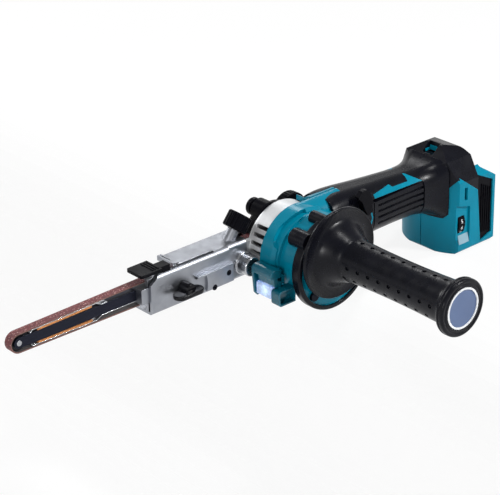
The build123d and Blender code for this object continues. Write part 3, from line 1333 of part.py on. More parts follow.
def dark_region():
    """Part of the rear housing that the handle's black moulding covers."""
    half = FACE_HALF_WIDTH
    flat = half - FACE_CHAMFER
    wide = REAR_HALF_WIDTH
    face = outline(
        (BODY_Y - flat, FACE_LOW), (BODY_Y + flat, FACE_LOW), (BODY_Y + half, FACE_LOW + FACE_CHAMFER),
        (BODY_Y + half, FACE_RISE), (BODY_Y + wide, CHEEK_PEAK), (BODY_Y + wide, FAR), (BODY_Y - wide, FAR),
        (BODY_Y - wide, CHEEK_PEAK), (BODY_Y - half, FACE_RISE), (BODY_Y - half, FACE_LOW + FACE_CHAMFER),
    )
    region = front_prism(face, 0, CHEEK_PEAK_X)
    return region + side_prism(outline(
        (CHEEK_PEAK_X, CHEEK_PEAK), (BAY_FRONT, CHEEK_REAR_Z), (BAY_FRONT, FAR), (0, FAR), (0, CHEEK_PEAK),
    ), -FAR, FAR)


def rear_shell():
    """Hollow rear housing with the battery bay cut into it."""
    shell = rear_form(0)
    cavity = rear_form(REAR_WALL) & box(0, BAY_FRONT - REAR_WALL, -FAR, FAR, -FAR, FAR)
    return shell - cavity - battery_bay()


def window_outline():
    """Slanted window in each side wall of the rear housing, filled by the battery rail's panel."""
    rear = REAR_END - REAR_RIM
    return outline(
        (BAY_FRONT, WINDOW_TOP), (rear, REAR_LIP_Z - REAR_RIM), (rear, BAY_FLOOR + WINDOW_SLANT),
        (BAY_FRONT + WINDOW_SLANT, BAY_FLOOR), (BAY_FRONT, CHEEK_REAR_Z),
    )


def make_body_shells():
    """Black handle shells with the cover of the rear housing, split at the middle plane."""
    handle = handle_form(0) - head_clearance(SEAM_GAP)
    handle -= rod(BAND_RADIUS + SEAM_GAP, BAND_LEFT - SEAM_GAP, BAND_RIGHT + 1)
    handle -= rod(SHELL_RADIUS + SEAM_GAP, BAND_RIGHT, 60)
    handle -= front_prism(cap_section(-SEAM_GAP), 0, CAP_REAR + SEAM_GAP)
    handle -= paddle_space(MOVING_GAP, PADDLE_SWING)
    handle += paddle_core()
    bulkhead = PADDLE_FRONT - HANDLE_WALL
    cavity = handle_form(HANDLE_WALL) & box(HANDLE_NECK[0], bulkhead, -FAR, FAR, -FAR, FAR)
    core_room = handle_form(CORE_INSET + HANDLE_WALL) & box(
        PADDLE_FRONT - 2 * HANDLE_WALL, FAR, -FAR, FAR, core_floor(), FAR)
    plunger_hole = Cylinder(PLUNGER_RADIUS + SLIDE_FIT, 2 * SWITCH_HEIGHT)
    core_room += Pos(PLUNGER_X, BODY_Y, core_floor()) * plunger_hole
    rear = rear_shell()
    dark = dark_region()
    shells = (handle - rear_form(0)) + (rear & dark) + ((handle & rear_form(0) & dark) - rear_form(REAR_WALL))
    shells -= cavity + core_room
    half_length = STRAP_HOLE_LENGTH / 2
    half_width = STRAP_HOLE_WIDTH / 2
    shells -= box(STRAP_HOLE_X - half_length, STRAP_HOLE_X + half_length,
                  BODY_Y - half_width, BODY_Y + half_width, REAR_TOP - STRAP_HOLE_DEPTH, FAR)
    for insert in make_grip_inserts():
        shells -= insert
    shells -= rod(PADDLE_PIN_RADIUS + PIN_FIT, -FAR, FAR, PADDLE_PIVOT_X, PADDLE_PIVOT_Z)
    shells -= rod(LOCK_PIN_RADIUS + RUNNING_FIT, BODY_Y - 60, BODY_Y, LOCK_X, LOCK_Z)
    return left_of_seam(shells), right_of_seam(shells)


def make_rear_shells():
    """Coloured lower shells of the rear housing, split at the middle plane."""
    shell = rear_shell() - dark_region()
    shell -= side_prism(window_outline(), -FAR, FAR)
    shell -= box(0, REAR_FRONT + SEAM_GROOVE, BODY_Y - SEAM_GROOVE / 2, BODY_Y + SEAM_GROOVE / 2, -FAR, FAR)
    left = left_of_seam(shell)
    left -= dial_pocket()
    left -= box(VENT_X - VENT_WIDTH / 2, VENT_X + VENT_WIDTH / 2, -FAR, REAR_LEFT + REAR_WALL + SEAM_GAP,
                VENT_Z - VENT_HEIGHT / 2, VENT_Z + VENT_HEIGHT / 2)
    return left, right_of_seam(shell)


def dial_pocket():
    """Shallow pocket at the left front corner, with room for the speed dial."""
    pocket = side_prism(outline(
        (POCKET_FRONT, POCKET_BOTTOM + 2 * POCKET_SLANT), (POCKET_FRONT + POCKET_SLANT, POCKET_BOTTOM),
        (POCKET_REAR, POCKET_BOTTOM), (POCKET_REAR, POCKET_TOP - POCKET_SLANT), (POCKET_FRONT, POCKET_TOP),
    ), -FAR, REAR_LEFT + POCKET_DEPTH)
    room = Cylinder(DIAL_RADIUS + MOVING_GAP, DIAL_WIDTH + 2 * MOVING_GAP)
    return pocket + Pos(DIAL_X, dial_y(), DIAL_Z) * Rot(0, 90, 0) * room


def dial_y():
    """Place of the dial's axis, so that its rim shows over the pocket's floor."""
    return REAR_LEFT + POCKET_DEPTH - DIAL_SHOW + DIAL_RADIUS


def make_speed_dial():
    """Toothed thumb wheel behind the window, turning about X."""
    wheel = Cylinder(DIAL_RADIUS, DIAL_WIDTH)
    tooth = Pos(DIAL_RADIUS + DIAL_TOOTH_RADIUS / 2, 0, 0) * Cylinder(DIAL_TOOTH_RADIUS, DIAL_WIDTH)
    for angle in around(DIAL_TEETH, 0, 360 / DIAL_TEETH):
        wheel -= Rot(0, 0, angle) * tooth
    return Pos(DIAL_X, dial_y(), DIAL_Z) * Rot(0, 90, 0) * wheel


def make_battery_rail():
    """Black liner of the battery bay: back wall, side panels in the windows and two upright lips."""
    half = BAY_HALF_WIDTH
    rail = box(BAY_FRONT, BAY_FRONT + RAIL_WALL, BODY_Y - half, BODY_Y + half, BAY_FLOOR, REAR_STEP_Z)
    for side in (-1, 1):
        wall = BODY_Y + side * half
        rail += upright(wall, wall - side * RAIL_WALL, BAY_FRONT, RAIL_FRONT + RAIL_WALL)
        rail += upright(wall, wall - side * (RAIL_WALL + RAIL_DEPTH), RAIL_FRONT, RAIL_FRONT + RAIL_WALL)
    panels = side_prism(window_outline(), -FAR, FAR) & rear_form(RAIL_WINDOW_DEPTH)
    return rail + (panels - box(0, FAR, BODY_Y - half, BODY_Y + half, -FAR, FAR))


def upright(y0, y1, front, rear):
    """Upright strip inside the battery bay."""
    return box(front, rear, min(y0, y1), max(y0, y1), BAY_FLOOR, REAR_LIP_Z - RAIL_WALL)


def make_terminal_block():
    """Terminal block on the bay's back wall, slotted for the battery's contacts."""
    front = BAY_FRONT + RAIL_WALL
    half = TERMINAL_WIDTH / 2
    block = box(front, front + TERMINAL_DEPTH, BODY_Y - half, BODY_Y + half,
                TERMINAL_Z - TERMINAL_HEIGHT / 2, TERMINAL_Z + TERMINAL_HEIGHT / 2)
    for y in blade_places():
        block -= box(front + TERMINAL_EDGE, front + TERMINAL_DEPTH, y - TERMINAL_EDGE, y + TERMINAL_EDGE,
                     TERMINAL_Z - TERMINAL_HEIGHT / 2, TERMINAL_Z + TERMINAL_HEIGHT / 2 - TERMINAL_EDGE)
    return block


def blade_places():
    """Places of the contact blades across the terminal block."""
    pitch = TERMINAL_WIDTH / BLADE_COUNT
    return [BODY_Y + pitch * (index - (BLADE_COUNT - 1) / 2) for index in range(BLADE_COUNT)]


def make_terminal_blades():
    """Contact blades that stand in the terminal block's slots."""
    front = BAY_FRONT + RAIL_WALL + TERMINAL_EDGE
    rear = BAY_FRONT + RAIL_WALL + TERMINAL_DEPTH - SLIDE_FIT
    half_height = TERMINAL_HEIGHT / 2 - TERMINAL_EDGE
    half = BLADE_THICKNESS / 2
    return [
        box(front, rear, y - half, y + half, TERMINAL_Z - half_height, TERMINAL_Z + half_height)
        for y in blade_places()
    ]


def make_control_board():
    """Motor control board with its parts, against the bay's back wall inside the rear housing."""
    rear = BAY_FRONT - REAR_WALL - SEAM_GAP
    half = BAY_HALF_WIDTH - 2 * REAR_WALL
    board = box(rear - BOARD_THICKNESS, rear, BODY_Y - half, BODY_Y + half,
                BAY_FLOOR + REAR_WALL, CHEEK_REAR_Z)
    for y in (BODY_Y - half / 2, BODY_Y, BODY_Y + half / 2):
        place = Pos(rear - BOARD_THICKNESS - CAPACITOR_LENGTH / 2, y, CAPACITOR_Z)
        board += place * Rot(0, 90, 0) * Cylinder(CAPACITOR_RADIUS, CAPACITOR_LENGTH)
    return board


NODES = {
    "abrasive_belt": make_belt(),
    "nose_roller": make_nose_roller(),
    "nose_pin": make_nose_pin(),
    "arm_bar": make_arm_bar(),
    "upper_platen": make_upper_platen(),
    "lower_platen": make_lower_platen(),
    "upper_pad": make_pad(1),
    "lower_pad": make_pad(-1),
    "slide_block": make_slide_block(),
    "thumb_tab": make_thumb_tab(),
    "arm_holder": make_arm_holder(),
    "side_plate": make_side_plate(),
    "side_plate_screws": make_side_plate_screws(),
    "cam_lever": make_cam_lever(),
    "tension_spring": make_tension_spring(),
    "tracking_knob": make_tracking_knob(),
    "tracking_screw": make_tracking_screw(),
    "drive_collar": make_drive_collar(),
    "side_boss": make_side_boss(),
    "boss_bolt": make_boss_bolt(),
    "belt_cover": make_belt_cover(),
    "clamp_knob": make_clamp_knob(),
    "release_button": make_release_button(),
    "spindle": make_spindle(),
    "drive_pulley": make_drive_pulley(),
    "pulley_screw": make_pulley_screw(),
    "rotor": make_rotor(),
    "stator": make_stator(),
    "fan": make_fan(),
    "left_bearing": make_bearing(LEFT_BEARING_LEFT),
    "right_bearing": make_bearing(RIGHT_BEARING_LEFT),
    "motor_case": make_motor_case(),
    "case_screws": make_case_screws(),
    "bearing_plate": make_bearing_plate(),
    "head_band": make_head_band(),
    "right_shell": make_right_shell(),
    "bumper_ring": make_bumper_ring(),
    "lamp_housing": make_lamp_housing(),
    "lamp_lens": make_lamp_lens(),
    "lamp_board": make_lamp_board(),
    "side_grip": make_side_grip(),
    "grip_stud": make_grip_stud(),
    "grip_end_ring": make_grip_end_ring(),
    "grip_end_cap": make_grip_end_cap(),
    "switch_paddle": make_switch_paddle(),
    "paddle_pin": make_paddle_pin(),
    "grip_inserts": make_grip_inserts(),
    "lock_lever": make_lock_lever(),
    "switch_body": make_switch_body(),
    "speed_dial": make_speed_dial(),
    "control_board": make_control_board(),
    "battery_rail": make_battery_rail(),
    "terminal_block": make_terminal_block(),
    "terminal_blades": make_terminal_blades(),
}
NODES["left_body_shell"], NODES["right_body_shell"] = make_body_shells()
NODES["left_rear_shell"], NODES["right_rear_shell"] = make_rear_shells()

os.makedirs("parts", exist_ok=True)
for name, solid in NODES.items():
    if isinstance(solid, list):
        solid = Compound(children=solid)
    export_step(solid, f"parts/{name}.step")
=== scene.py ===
import math

import bmesh
import bpy
from bpy.props import FloatProperty, FloatVectorProperty, IntProperty, PointerProperty
from mathutils import Matrix, Vector


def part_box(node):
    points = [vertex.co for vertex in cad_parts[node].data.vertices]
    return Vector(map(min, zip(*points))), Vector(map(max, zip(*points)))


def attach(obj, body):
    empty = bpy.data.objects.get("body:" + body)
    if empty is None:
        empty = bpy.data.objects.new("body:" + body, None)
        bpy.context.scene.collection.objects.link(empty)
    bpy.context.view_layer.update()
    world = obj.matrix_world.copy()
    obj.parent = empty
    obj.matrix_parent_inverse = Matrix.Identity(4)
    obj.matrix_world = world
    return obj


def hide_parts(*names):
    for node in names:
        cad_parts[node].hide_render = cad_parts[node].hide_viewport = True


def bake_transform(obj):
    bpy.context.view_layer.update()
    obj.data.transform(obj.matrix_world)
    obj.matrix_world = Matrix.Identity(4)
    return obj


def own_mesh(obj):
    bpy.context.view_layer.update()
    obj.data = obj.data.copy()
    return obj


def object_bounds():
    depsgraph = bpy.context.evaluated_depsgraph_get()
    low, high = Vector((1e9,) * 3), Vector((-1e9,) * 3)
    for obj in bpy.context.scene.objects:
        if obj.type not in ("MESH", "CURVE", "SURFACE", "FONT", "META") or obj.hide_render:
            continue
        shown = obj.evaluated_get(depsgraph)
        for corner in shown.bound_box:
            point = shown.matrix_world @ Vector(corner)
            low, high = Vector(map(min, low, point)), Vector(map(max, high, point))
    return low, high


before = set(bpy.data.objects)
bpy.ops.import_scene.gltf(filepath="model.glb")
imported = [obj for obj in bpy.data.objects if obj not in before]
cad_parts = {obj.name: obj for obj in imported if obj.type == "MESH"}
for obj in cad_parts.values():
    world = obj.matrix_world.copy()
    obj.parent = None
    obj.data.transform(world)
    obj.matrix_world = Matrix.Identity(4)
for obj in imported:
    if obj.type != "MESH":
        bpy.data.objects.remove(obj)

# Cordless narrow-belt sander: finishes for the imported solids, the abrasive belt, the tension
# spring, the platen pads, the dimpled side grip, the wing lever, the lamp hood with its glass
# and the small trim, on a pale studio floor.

bl_info = {
    "name": "Narrow belt sander",
    "version": (1, 0, 0),
    "blender": (4, 5, 0),
    "location": "View3D > Sidebar > Sander",
    "description": "Finishes, soft pieces and fine trim of a cordless narrow belt sander",
    "category": "Object",
}

CAD_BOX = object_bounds()
MM = 0.001

# Belt, spring and pads
LOOP_STEPS = 28  # faces round each end of the belt
RUN_CUTS = 56  # cuts along each straight run of the belt
WIRE_SIDES = 12  # faces round the spring's wire
COIL_STEPS = 20  # faces along one turn of the spring
CLOSED_PITCH = 1.04  # rise of a closed turn, in wire diameters
PAD_ROUND = 0.35 * MM
PAD_CUTS = 18

# Side grip: millimetres along and off its axis, degrees round it
GRIP_STEPS = 30  # faces round the grip
GRIP_START = 175  # middle of a face
GRIP_WAIST = 15.6
GRIP_SWELL = 0.95  # growth of the barrel's radius at its ends
GRIP_RADII = (14.0, 17.8)  # a face between these lies on the barrel
DIMPLE_FIRST = -90.2
DIMPLE_COUNT = 9  # in a row along the grip
DIMPLE_SHARE = 0.185  # half a dimple's length, in pitches
DIMPLE_MIDDLE = 133  # middle of the bare strip between the rows
DIMPLE_LEANS = (42, 78, 114, 150)  # rows to either side of the middle
DIMPLE_INSETS = ((0.06, 0.0), (0.14, 0.8), (0.6, 0.2))  # border, and share of the depth

# Wing lever, in millimetres
LEVER_PIN = (-103.0, -7.0)  # X and Z of the pin
LEVER_WALL = -12.3  # Y of the face behind the lever
HUB_RADIUS = 5.0
HUB_DEPTH = 3.0
BARREL_SHIFT = (2.4, 4.8)  # the barrel's middle from the pin
BARREL_HALF = (4.6, 4.9)
BARREL_DEPTH = 9.6
WING_MIDDLE = (0.6, 8.0)  # from the pin along X, and out from the wall
WING_REACH = 7.4
WING_RADIUS = 5.6
WING_LEVELS = (1.4, 4.8)  # the wing's two faces over the pin

# Lamp
LAMP_SPLIT = -46.0  # Y at which the bracket ends and the hood begins, in millimetres
LAMP_SPOT = (0.0, 0.4, 0.35)  # brightest spot, in shares of the lens
GLOW_REACH = 8.0 * MM
GLOW_RIM = (0.05, 0.16, 0.5, 1.0)  # colour at the glow's edge

# Rear trim in millimetres: the pocket's ramp, the strap hole's walls and the window ribs
RAMP_OUTLINE = ((-55.0, -38.5), (-53.1, -38.5), (-53.1, -30.5))  # along Y and Z
RAMP_SPAN = (149.2, 160.8)
STRAP_WALLS = (
    ((151.6, -29.2, 33.2), (152.3, -18.8, 37.2)),
    ((146.0, -19.6, 33.2), (151.6, -18.8, 35.4)),
)
RIB_COUNT = 5
RIB_FIRST = 5.5  # from the panel's front edge
RIB_PITCH = 2.5
RIB_RISE = 0.8
RIB_TOP = (9.5, -0.5)  # height at the front edge, and its slope to the rear
RIB_FOOT = (-35.5, -0.1)

# Dial digits, in degrees round the dial
DIGIT_COUNT = 9
DIGIT_STEP = 25.0
DIGIT_START = -112.5
DIGIT_RELIEF = 0.12 * MM

# Stage, in metres
FLOOR_GAP = 0.0002
FLOOR_REACH = 40.0
FLOOR_ROUND = 1 / 3  # radius of the step's rounds, in drops
FLOOR_STEPS = 8
STUDIO_AIM = Vector((-0.02, -0.03, 0.0))
WALL_FADE = (0.15, 0.36)  # heights between which the white wall turns into the ceiling
SENSOR_WIDTH = 36.0  # millimetres
WHITE = (1.0, 1.0, 1.0, 1.0)


def linear(red, green, blue):
    """Scene-linear colour, with alpha, of three display values from 0 to 255."""
    shares = [value / 255 for value in (red, green, blue)]
    return tuple(s / 12.92 if s <= 0.04045 else ((s + 0.055) / 1.055) ** 2.4 for s in shares) + (1.0,)


def colour_property(name, description, default):
    return FloatVectorProperty(
        name=name, description=description, default=default, size=4, min=0.0, max=1.0, subtype="COLOR"
    )


def length_property(name, description, millimetres):
    return FloatProperty(name=name, description=description, default=millimetres * MM, unit="LENGTH")


def angle_property(name, description, degrees):
    return FloatProperty(name=name, description=description, default=math.radians(degrees), subtype="ANGLE")


def power_property(name, description, watts):
    return FloatProperty(name=name, description=description, default=watts, unit="POWER")


class SanderColours(bpy.types.PropertyGroup):
    """Colours of the finishes."""

    teal: colour_property("Teal plastic", "Moulded case and rear housing", linear(0, 124, 150))
    black: colour_property("Black plastic", "Knobs, levers and battery rail", linear(12, 12, 17))
    rubber: colour_property("Rubber", "Handle skin, side grip and bumper", linear(12, 13, 21))
    aluminium: colour_property("Cast aluminium", "Arm holder and slide block", linear(160, 163, 170))
    casting: colour_property("Ring casting", "Slotted ring behind the arm", linear(222, 224, 226))
    steel: colour_property("Steel", "Pins, screws, platens and the side boss", linear(176, 178, 182))
    slate: colour_property("Blackened steel", "Bar of the sanding arm", linear(40, 42, 53))
    grit: colour_property("Abrasive grain", "Grain of the belt", linear(112, 56, 60))
    cloth: colour_property("Belt cloth", "Cut edge of the belt", linear(128, 88, 80))
    # The backing's dark tone is a darkened copy of the belt cloth: painted shade inside the belt's loop.
    backing: colour_property("Belt backing", "Inside of the belt", linear(50, 38, 40))
    pad: colour_property("Platen pad", "Springy pads under the platens", linear(196, 128, 72))
    board: colour_property("Circuit board", "Lamp and control boards", linear(22, 92, 58))
    white: colour_property("White plastic", "Ring at the grip's end", linear(236, 238, 240))
    blue: colour_property("Blue plastic", "Cap at the grip's end", linear(84, 104, 142))
    brass: colour_property("Brass", "Battery contacts", linear(206, 170, 104))
    iron: colour_property("Iron", "Motor laminations", linear(92, 92, 96))
    light: colour_property("Lamp light", "Glow behind the lamp's lens", linear(196, 226, 255))


class SanderSizes(bpy.types.PropertyGroup):
    """Sizes of the new pieces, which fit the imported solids."""

    belt_width: length_property("Belt width", "Width of the abrasive belt", 7.0)
    belt_thickness: length_property("Belt thickness", "Grain and cloth together", 1.0)
    nose_loop: length_property("Nose loop", "Radius of the belt's middle line at the nose", 7.0)
    drive_loop: length_property("Drive loop", "Radius of the belt's middle line at the pulley", 10.2)
    spring_radius: length_property("Spring radius", "Mean radius of the tension spring", 3.6)
    spring_wire: length_property("Spring wire", "Diameter of the spring's wire", 1.2)
    spring_turns: IntProperty(
        name="Spring turns", description="Open turns between the closed ends", default=8)
    pad_thickness: length_property("Pad thickness", "Thickness of a platen pad", 1.6)
    dimple_pitch: length_property("Dimple pitch", "Distance of two dimples along the grip", 10.25)
    dimple_depth: length_property("Dimple depth", "Depth of a dimple", 1.7)
    rib_width: length_property("Rib width", "Width of a rib in the battery windows", 0.6)
    digit_height: length_property("Digit height", "Height of the dial's digits", 4.6)
    edge_round: length_property("Edge round", "Radius at which moulded edges catch the light", 0.35)


class SanderStage(bpy.types.PropertyGroup):
    """Camera, light and floor."""

    azimuth: angle_property("Azimuth", "Camera's turn from the tool's left to its nose", 41.234)
    elevation: angle_property("Elevation", "Camera's height over the horizon", 25.763)
    roll: angle_property("Roll", "Camera's roll", -1.347)
    distance: length_property("Distance", "From the spindle to the camera", 1418.754)
    right: length_property("Right", "Camera's shift to its right", -18.346)
    rise: length_property("Rise", "Camera's shift upward", -8.18)
    lens: FloatProperty(name="Lens", description="Focal length in millimetres", default=134.08)
    key: power_property("Key light", "Power of the key light", 20.0)
    fill: power_property("Side light", "Power of the strip at the nose", 8.0)
    top: power_property("Top light", "Power of the top light", 7.0)
    back: power_property("Back light", "Power of the light behind", 1.9)
    far: power_property("Far light", "Power of the light on the right side", 8.0)
    sky: FloatProperty(name="Sky", description="Strength of the even light from all round", default=0.25)
    ceiling: FloatProperty(name="Ceiling", description="Sky over the white wall, as it is seen", default=0.3)
    veil: FloatProperty(name="Veil", description="Share of plain white in the floor as seen", default=0.85)
    floor: colour_property("Floor", "Pale studio floor", (0.9, 0.9, 0.9, 1.0))
    edge: length_property("Floor edge", "Where the floor drops away under the arm", 20.0)
    drop: length_property("Floor drop", "Depth of the floor under the swinging arm", 210.0)


GROUPS = {"sander_colours": SanderColours, "sander_sizes": SanderSizes, "sander_stage": SanderStage}


def colours():
    return bpy.context.scene.sander_colours


def sizes():
    return bpy.context.scene.sander_sizes


# Shader helpers


def feed(tree, node, inputs):
    """Sets a node's inputs, each to a plain value or to the socket that feeds it."""
    for key, value in inputs.items():
        if isinstance(value, bpy.types.NodeSocket):
            tree.links.new(value, node.inputs[key])
        else:
            node.inputs[key].default_value = value


def put(tree, kind, inputs=None, **settings):
    """Adds a shader node with its settings and inputs."""
    node = tree.nodes.new(kind)
    for name, value in settings.items():
        setattr(node, name, value)
    feed(tree, node, inputs or {})
    return node


def begin(name):
    """New material with its shader and the object coordinates."""
    material = bpy.data.materials.new(name)
    material.use_nodes = True
    tree = material.node_tree
    tree.nodes.clear()
    shader = put(tree, "ShaderNodeBsdfPrincipled")
    put(tree, "ShaderNodeOutputMaterial", {"Surface": shader.outputs[0]})
    place = put(tree, "ShaderNodeTexCoord").outputs["Object"]
    return material, tree, shader, place


def noise(tree, place, scale, detail=3.0, rough=0.55):
    return put(tree, "ShaderNodeTexNoise", {
        "Vector": place, "Scale": scale, "Detail": detail, "Roughness": rough}).outputs[0]


def cells(tree, place, scale):
    """Packed cells: the distance to a cell's middle, and the cell's random colour."""
    made = put(tree, "ShaderNodeTexVoronoi", {"Vector": place, "Scale": scale}).outputs
    return made["Distance"], made["Color"]


def red_of(tree, colour):
    return put(tree, "ShaderNodeSeparateColor", {"Color": colour}).outputs[0]


def stretched(tree, place, scale):
    """Coordinates scaled by axis, so that a noise becomes brush lines."""
    return put(tree, "ShaderNodeMapping", {"Vector": place, "Scale": scale}).outputs[0]


def spread(tree, value, low, high, to_low=0.0, to_high=1.0):
    return put(tree, "ShaderNodeMapRange", {
        "Value": value, "From Min": low, "From Max": high, "To Min": to_low, "To Max": to_high}).outputs[0]


def mix(tree, share, first, second):
    """Colour between two others."""
    return put(tree, "ShaderNodeMix", {0: share, 6: first, 7: second}, data_type="RGBA").outputs[2]


def times(tree, first, second):
    return put(tree, "ShaderNodeMath", {0: first, 1: second}, operation="MULTIPLY").outputs[0]


def added(tree, first, second):
    return put(tree, "ShaderNodeMath", {0: first, 1: second}, operation="ADD").outputs[0]


def pick(tree, share, first, second):
    """Number between two others."""
    return put(tree, "ShaderNodeMix", {0: share, 2: first, 3: second}, data_type="FLOAT").outputs[0]


def dimmed(colour, share):
    return tuple(min(1.0, channel * share) for channel in colour[:3]) + (1.0,)


def mixed(colour, share):
    """Colour taken some way to white."""
    return tuple(channel + (1.0 - channel) * share for channel in colour[:3]) + (1.0,)


def facing(tree):
    """The surface's own normal."""
    return put(tree, "ShaderNodeNewGeometry").outputs["Normal"]


def rounded(tree):
    """Normal that turns smoothly over the edges, and how near an edge is."""
    normal = put(tree, "ShaderNodeBevel", {"Radius": sizes().edge_round}, samples=4).outputs[0]
    dot = put(tree, "ShaderNodeVectorMath", {0: normal, 1: facing(tree)}, operation="DOT_PRODUCT")
    return normal, spread(tree, dot.outputs["Value"], 0.995, 0.86)


def bumped(tree, height, strength, distance, normal):
    return put(tree, "ShaderNodeBump", {
        "Height": height, "Strength": strength, "Distance": distance, "Normal": normal}).outputs[0]


def plastic(name, colour, roughness, pale=1.5, rub_and_highlight=0.5, coat=0.0, gloss=0.5):
    """Moulded plastic with spark-eroded grain, slow drift of tone and paler edges: rubbed wear in scuffed
    patches, and a painted highlight on the bevels.
    """
    material, tree, shader, place = begin(name)
    normal, edge = rounded(tree)
    drift = spread(tree, noise(tree, place, 28.0, 2.0), 0.35, 0.65)
    tone = mix(tree, drift, dimmed(colour, 0.93), dimmed(colour, 1.06))
    scuff_and_highlight = spread(tree, noise(tree, place, 160.0, 5.0, 0.7), 0.4, 0.62)
    blotch = noise(tree, place, 90.0, 4.0)
    speck = noise(tree, place, 1900.0, 2.0)
    feed(tree, shader, {
        # Near the edges the colour turns paler in scuffed patches: partly rubbed wear, partly a painted
        # highlight on the bevels.
        "Base Color": mix(tree, times(tree, times(tree, edge, scuff_and_highlight), rub_and_highlight), tone, dimmed(colour, pale)),
        "Roughness": spread(tree, blotch, 0.3, 0.7, roughness - 0.05, roughness + 0.06),
        "Normal": bumped(tree, speck, 0.35, 0.00004, normal),
        "Specular IOR Level": gloss,
        "Coat Weight": coat,
        "Coat Roughness": 0.14,
    })
    return material


def rays(tree, place, axis, count, inner, outer):
    """Fine rays round an axis along Y, between two radii."""
    moved = put(tree, "ShaderNodeVectorMath", {0: place, 1: axis}, operation="SUBTRACT").outputs[0]
    parts = put(tree, "ShaderNodeSeparateXYZ", {0: moved}).outputs
    angle = put(tree, "ShaderNodeMath", {0: parts[0], 1: parts[2]}, operation="ARCTAN2").outputs[0]
    wave = put(tree, "ShaderNodeMath", {0: times(tree, angle, count)}, operation="SINE").outputs[0]
    flat = put(tree, "ShaderNodeCombineXYZ", {0: parts[0], 2: parts[2]}).outputs[0]
    radius = put(tree, "ShaderNodeVectorMath", {0: flat}, operation="LENGTH").outputs["Value"]
    fade = 0.001
    band = times(tree, spread(tree, radius, inner, inner + fade), spread(tree, radius, outer, outer - fade))
    return times(tree, wave, band)


def rubber(name, colour, roughness, gloss, disc=None):
    """Soft moulded rubber: fine stipple, faint bloom, a low sheen and rays on a guard disc."""
    material, tree, shader, place = begin(name)
    normal, edge = rounded(tree)
    bloom = spread(tree, noise(tree, place, 45.0, 4.0, 0.6), 0.35, 0.7)
    tone = mix(tree, bloom, dimmed(colour, 0.8), dimmed(colour, 1.15))
    blotch = noise(tree, place, 120.0, 3.0)
    relief = cells(tree, place, 1500.0)[0]
    if disc:
        relief = added(tree, relief, times(tree, rays(tree, place, *disc), 4.0))
    feed(tree, shader, {
        "Base Color": mix(tree, times(tree, edge, 0.3), tone, dimmed(colour, 2.0)),
        "Roughness": spread(tree, blotch, 0.3, 0.7, roughness - 0.06, roughness + 0.08),
        "Normal": bumped(tree, relief, 0.3, 0.00005, normal),
        "Specular IOR Level": gloss,
        "Sheen Weight": 0.01,
        "Sheen Roughness": 0.4,
    })
    return material


def cast_metal(name, colour, roughness, metal=1.0):
    """Die-cast metal: shallow orange peel, a cloudy drift of tone and bright rubbed edges."""
    material, tree, shader, place = begin(name)
    normal, edge = rounded(tree)
    cloud = spread(tree, noise(tree, place, 60.0, 4.0, 0.6), 0.3, 0.7)
    tone = mix(tree, cloud, dimmed(colour, 0.84), dimmed(colour, 1.04))
    blotch = noise(tree, place, 210.0, 3.0)
    peel = noise(tree, place, 520.0, 4.0, 0.6)
    feed(tree, shader, {
        "Base Color": mix(tree, times(tree, edge, 0.7), tone, dimmed(colour, 1.35)),
        "Roughness": spread(tree, blotch, 0.3, 0.7, roughness - 0.07, roughness + 0.08),
        "Normal": bumped(tree, peel, 0.25, 0.00009, normal),
        "Metallic": metal,
    })
    return material


def drawn_metal(name, colour, roughness, brush=(60.0, 900.0, 900.0)):
    """Drawn or turned metal with fine lines along one axis."""
    material, tree, shader, place = begin(name)
    normal, edge = rounded(tree)
    lines = noise(tree, stretched(tree, place, brush), 1.6, 3.0, 0.7)
    tone = mix(tree, spread(tree, lines, 0.3, 0.7), dimmed(colour, 0.82), dimmed(colour, 1.08))
    feed(tree, shader, {
        "Base Color": mix(tree, times(tree, edge, 0.6), tone, dimmed(colour, 1.5)),
        "Roughness": spread(tree, lines, 0.2, 0.8, roughness - 0.08, roughness + 0.1),
        "Normal": bumped(tree, lines, 0.2, 0.00005, normal),
        "Metallic": 1.0,
    })
    return material


def grit_cloth(name, colour):
    """Bonded abrasive: packed grains of uneven tone in a resin coat."""
    material, tree, shader, place = begin(name)
    grains, hues = cells(tree, place, 1700.0)
    hue = red_of(tree, hues)
    tone = mix(tree, spread(tree, hue, 0.1, 0.9), dimmed(colour, 0.45), dimmed(colour, 1.5))
    streak = noise(tree, stretched(tree, place, (25.0, 240.0, 60.0)), 1.0, 4.0, 0.65)
    tone = mix(tree, spread(tree, streak, 0.35, 0.75, 0.0, 0.45), tone, dimmed(colour, 0.6))
    spark = spread(tree, hue, 0.9, 0.97)
    feed(tree, shader, {
        "Base Color": mix(tree, times(tree, spark, 0.7), tone, (0.75, 0.5, 0.45, 1.0)),
        "Roughness": spread(tree, hue, 0.0, 1.0, 0.5, 0.85),
        "Normal": bumped(tree, grains, 0.8, 0.00022, facing(tree)),
    })
    return material


def woven(name, colour, thread=0.0009):
    """Plain-woven backing cloth, seen on the belt's inside and cut edges."""
    material, tree, shader, place = begin(name)
    wave_rate = 20.0
    scale = 2 * math.pi / (wave_rate * thread)
    warp, weft = (
        put(tree, "ShaderNodeTexWave", {"Vector": place, "Scale": scale, "Distortion": 0.6},
            bands_direction=way).outputs[1]
        for way in ("X", "Y"))
    weave = times(tree, warp, weft)
    tone = mix(tree, weave, dimmed(colour, 0.7), colour)
    stain = spread(tree, noise(tree, place, 80.0, 4.0), 0.35, 0.7, 0.0, 0.4)
    feed(tree, shader, {
        "Base Color": mix(tree, stain, tone, dimmed(colour, 0.6)),
        "Roughness": 0.88,
        "Normal": bumped(tree, weave, 0.5, 0.00008, facing(tree)),
        "Sheen Weight": 0.2,
    })
    return material


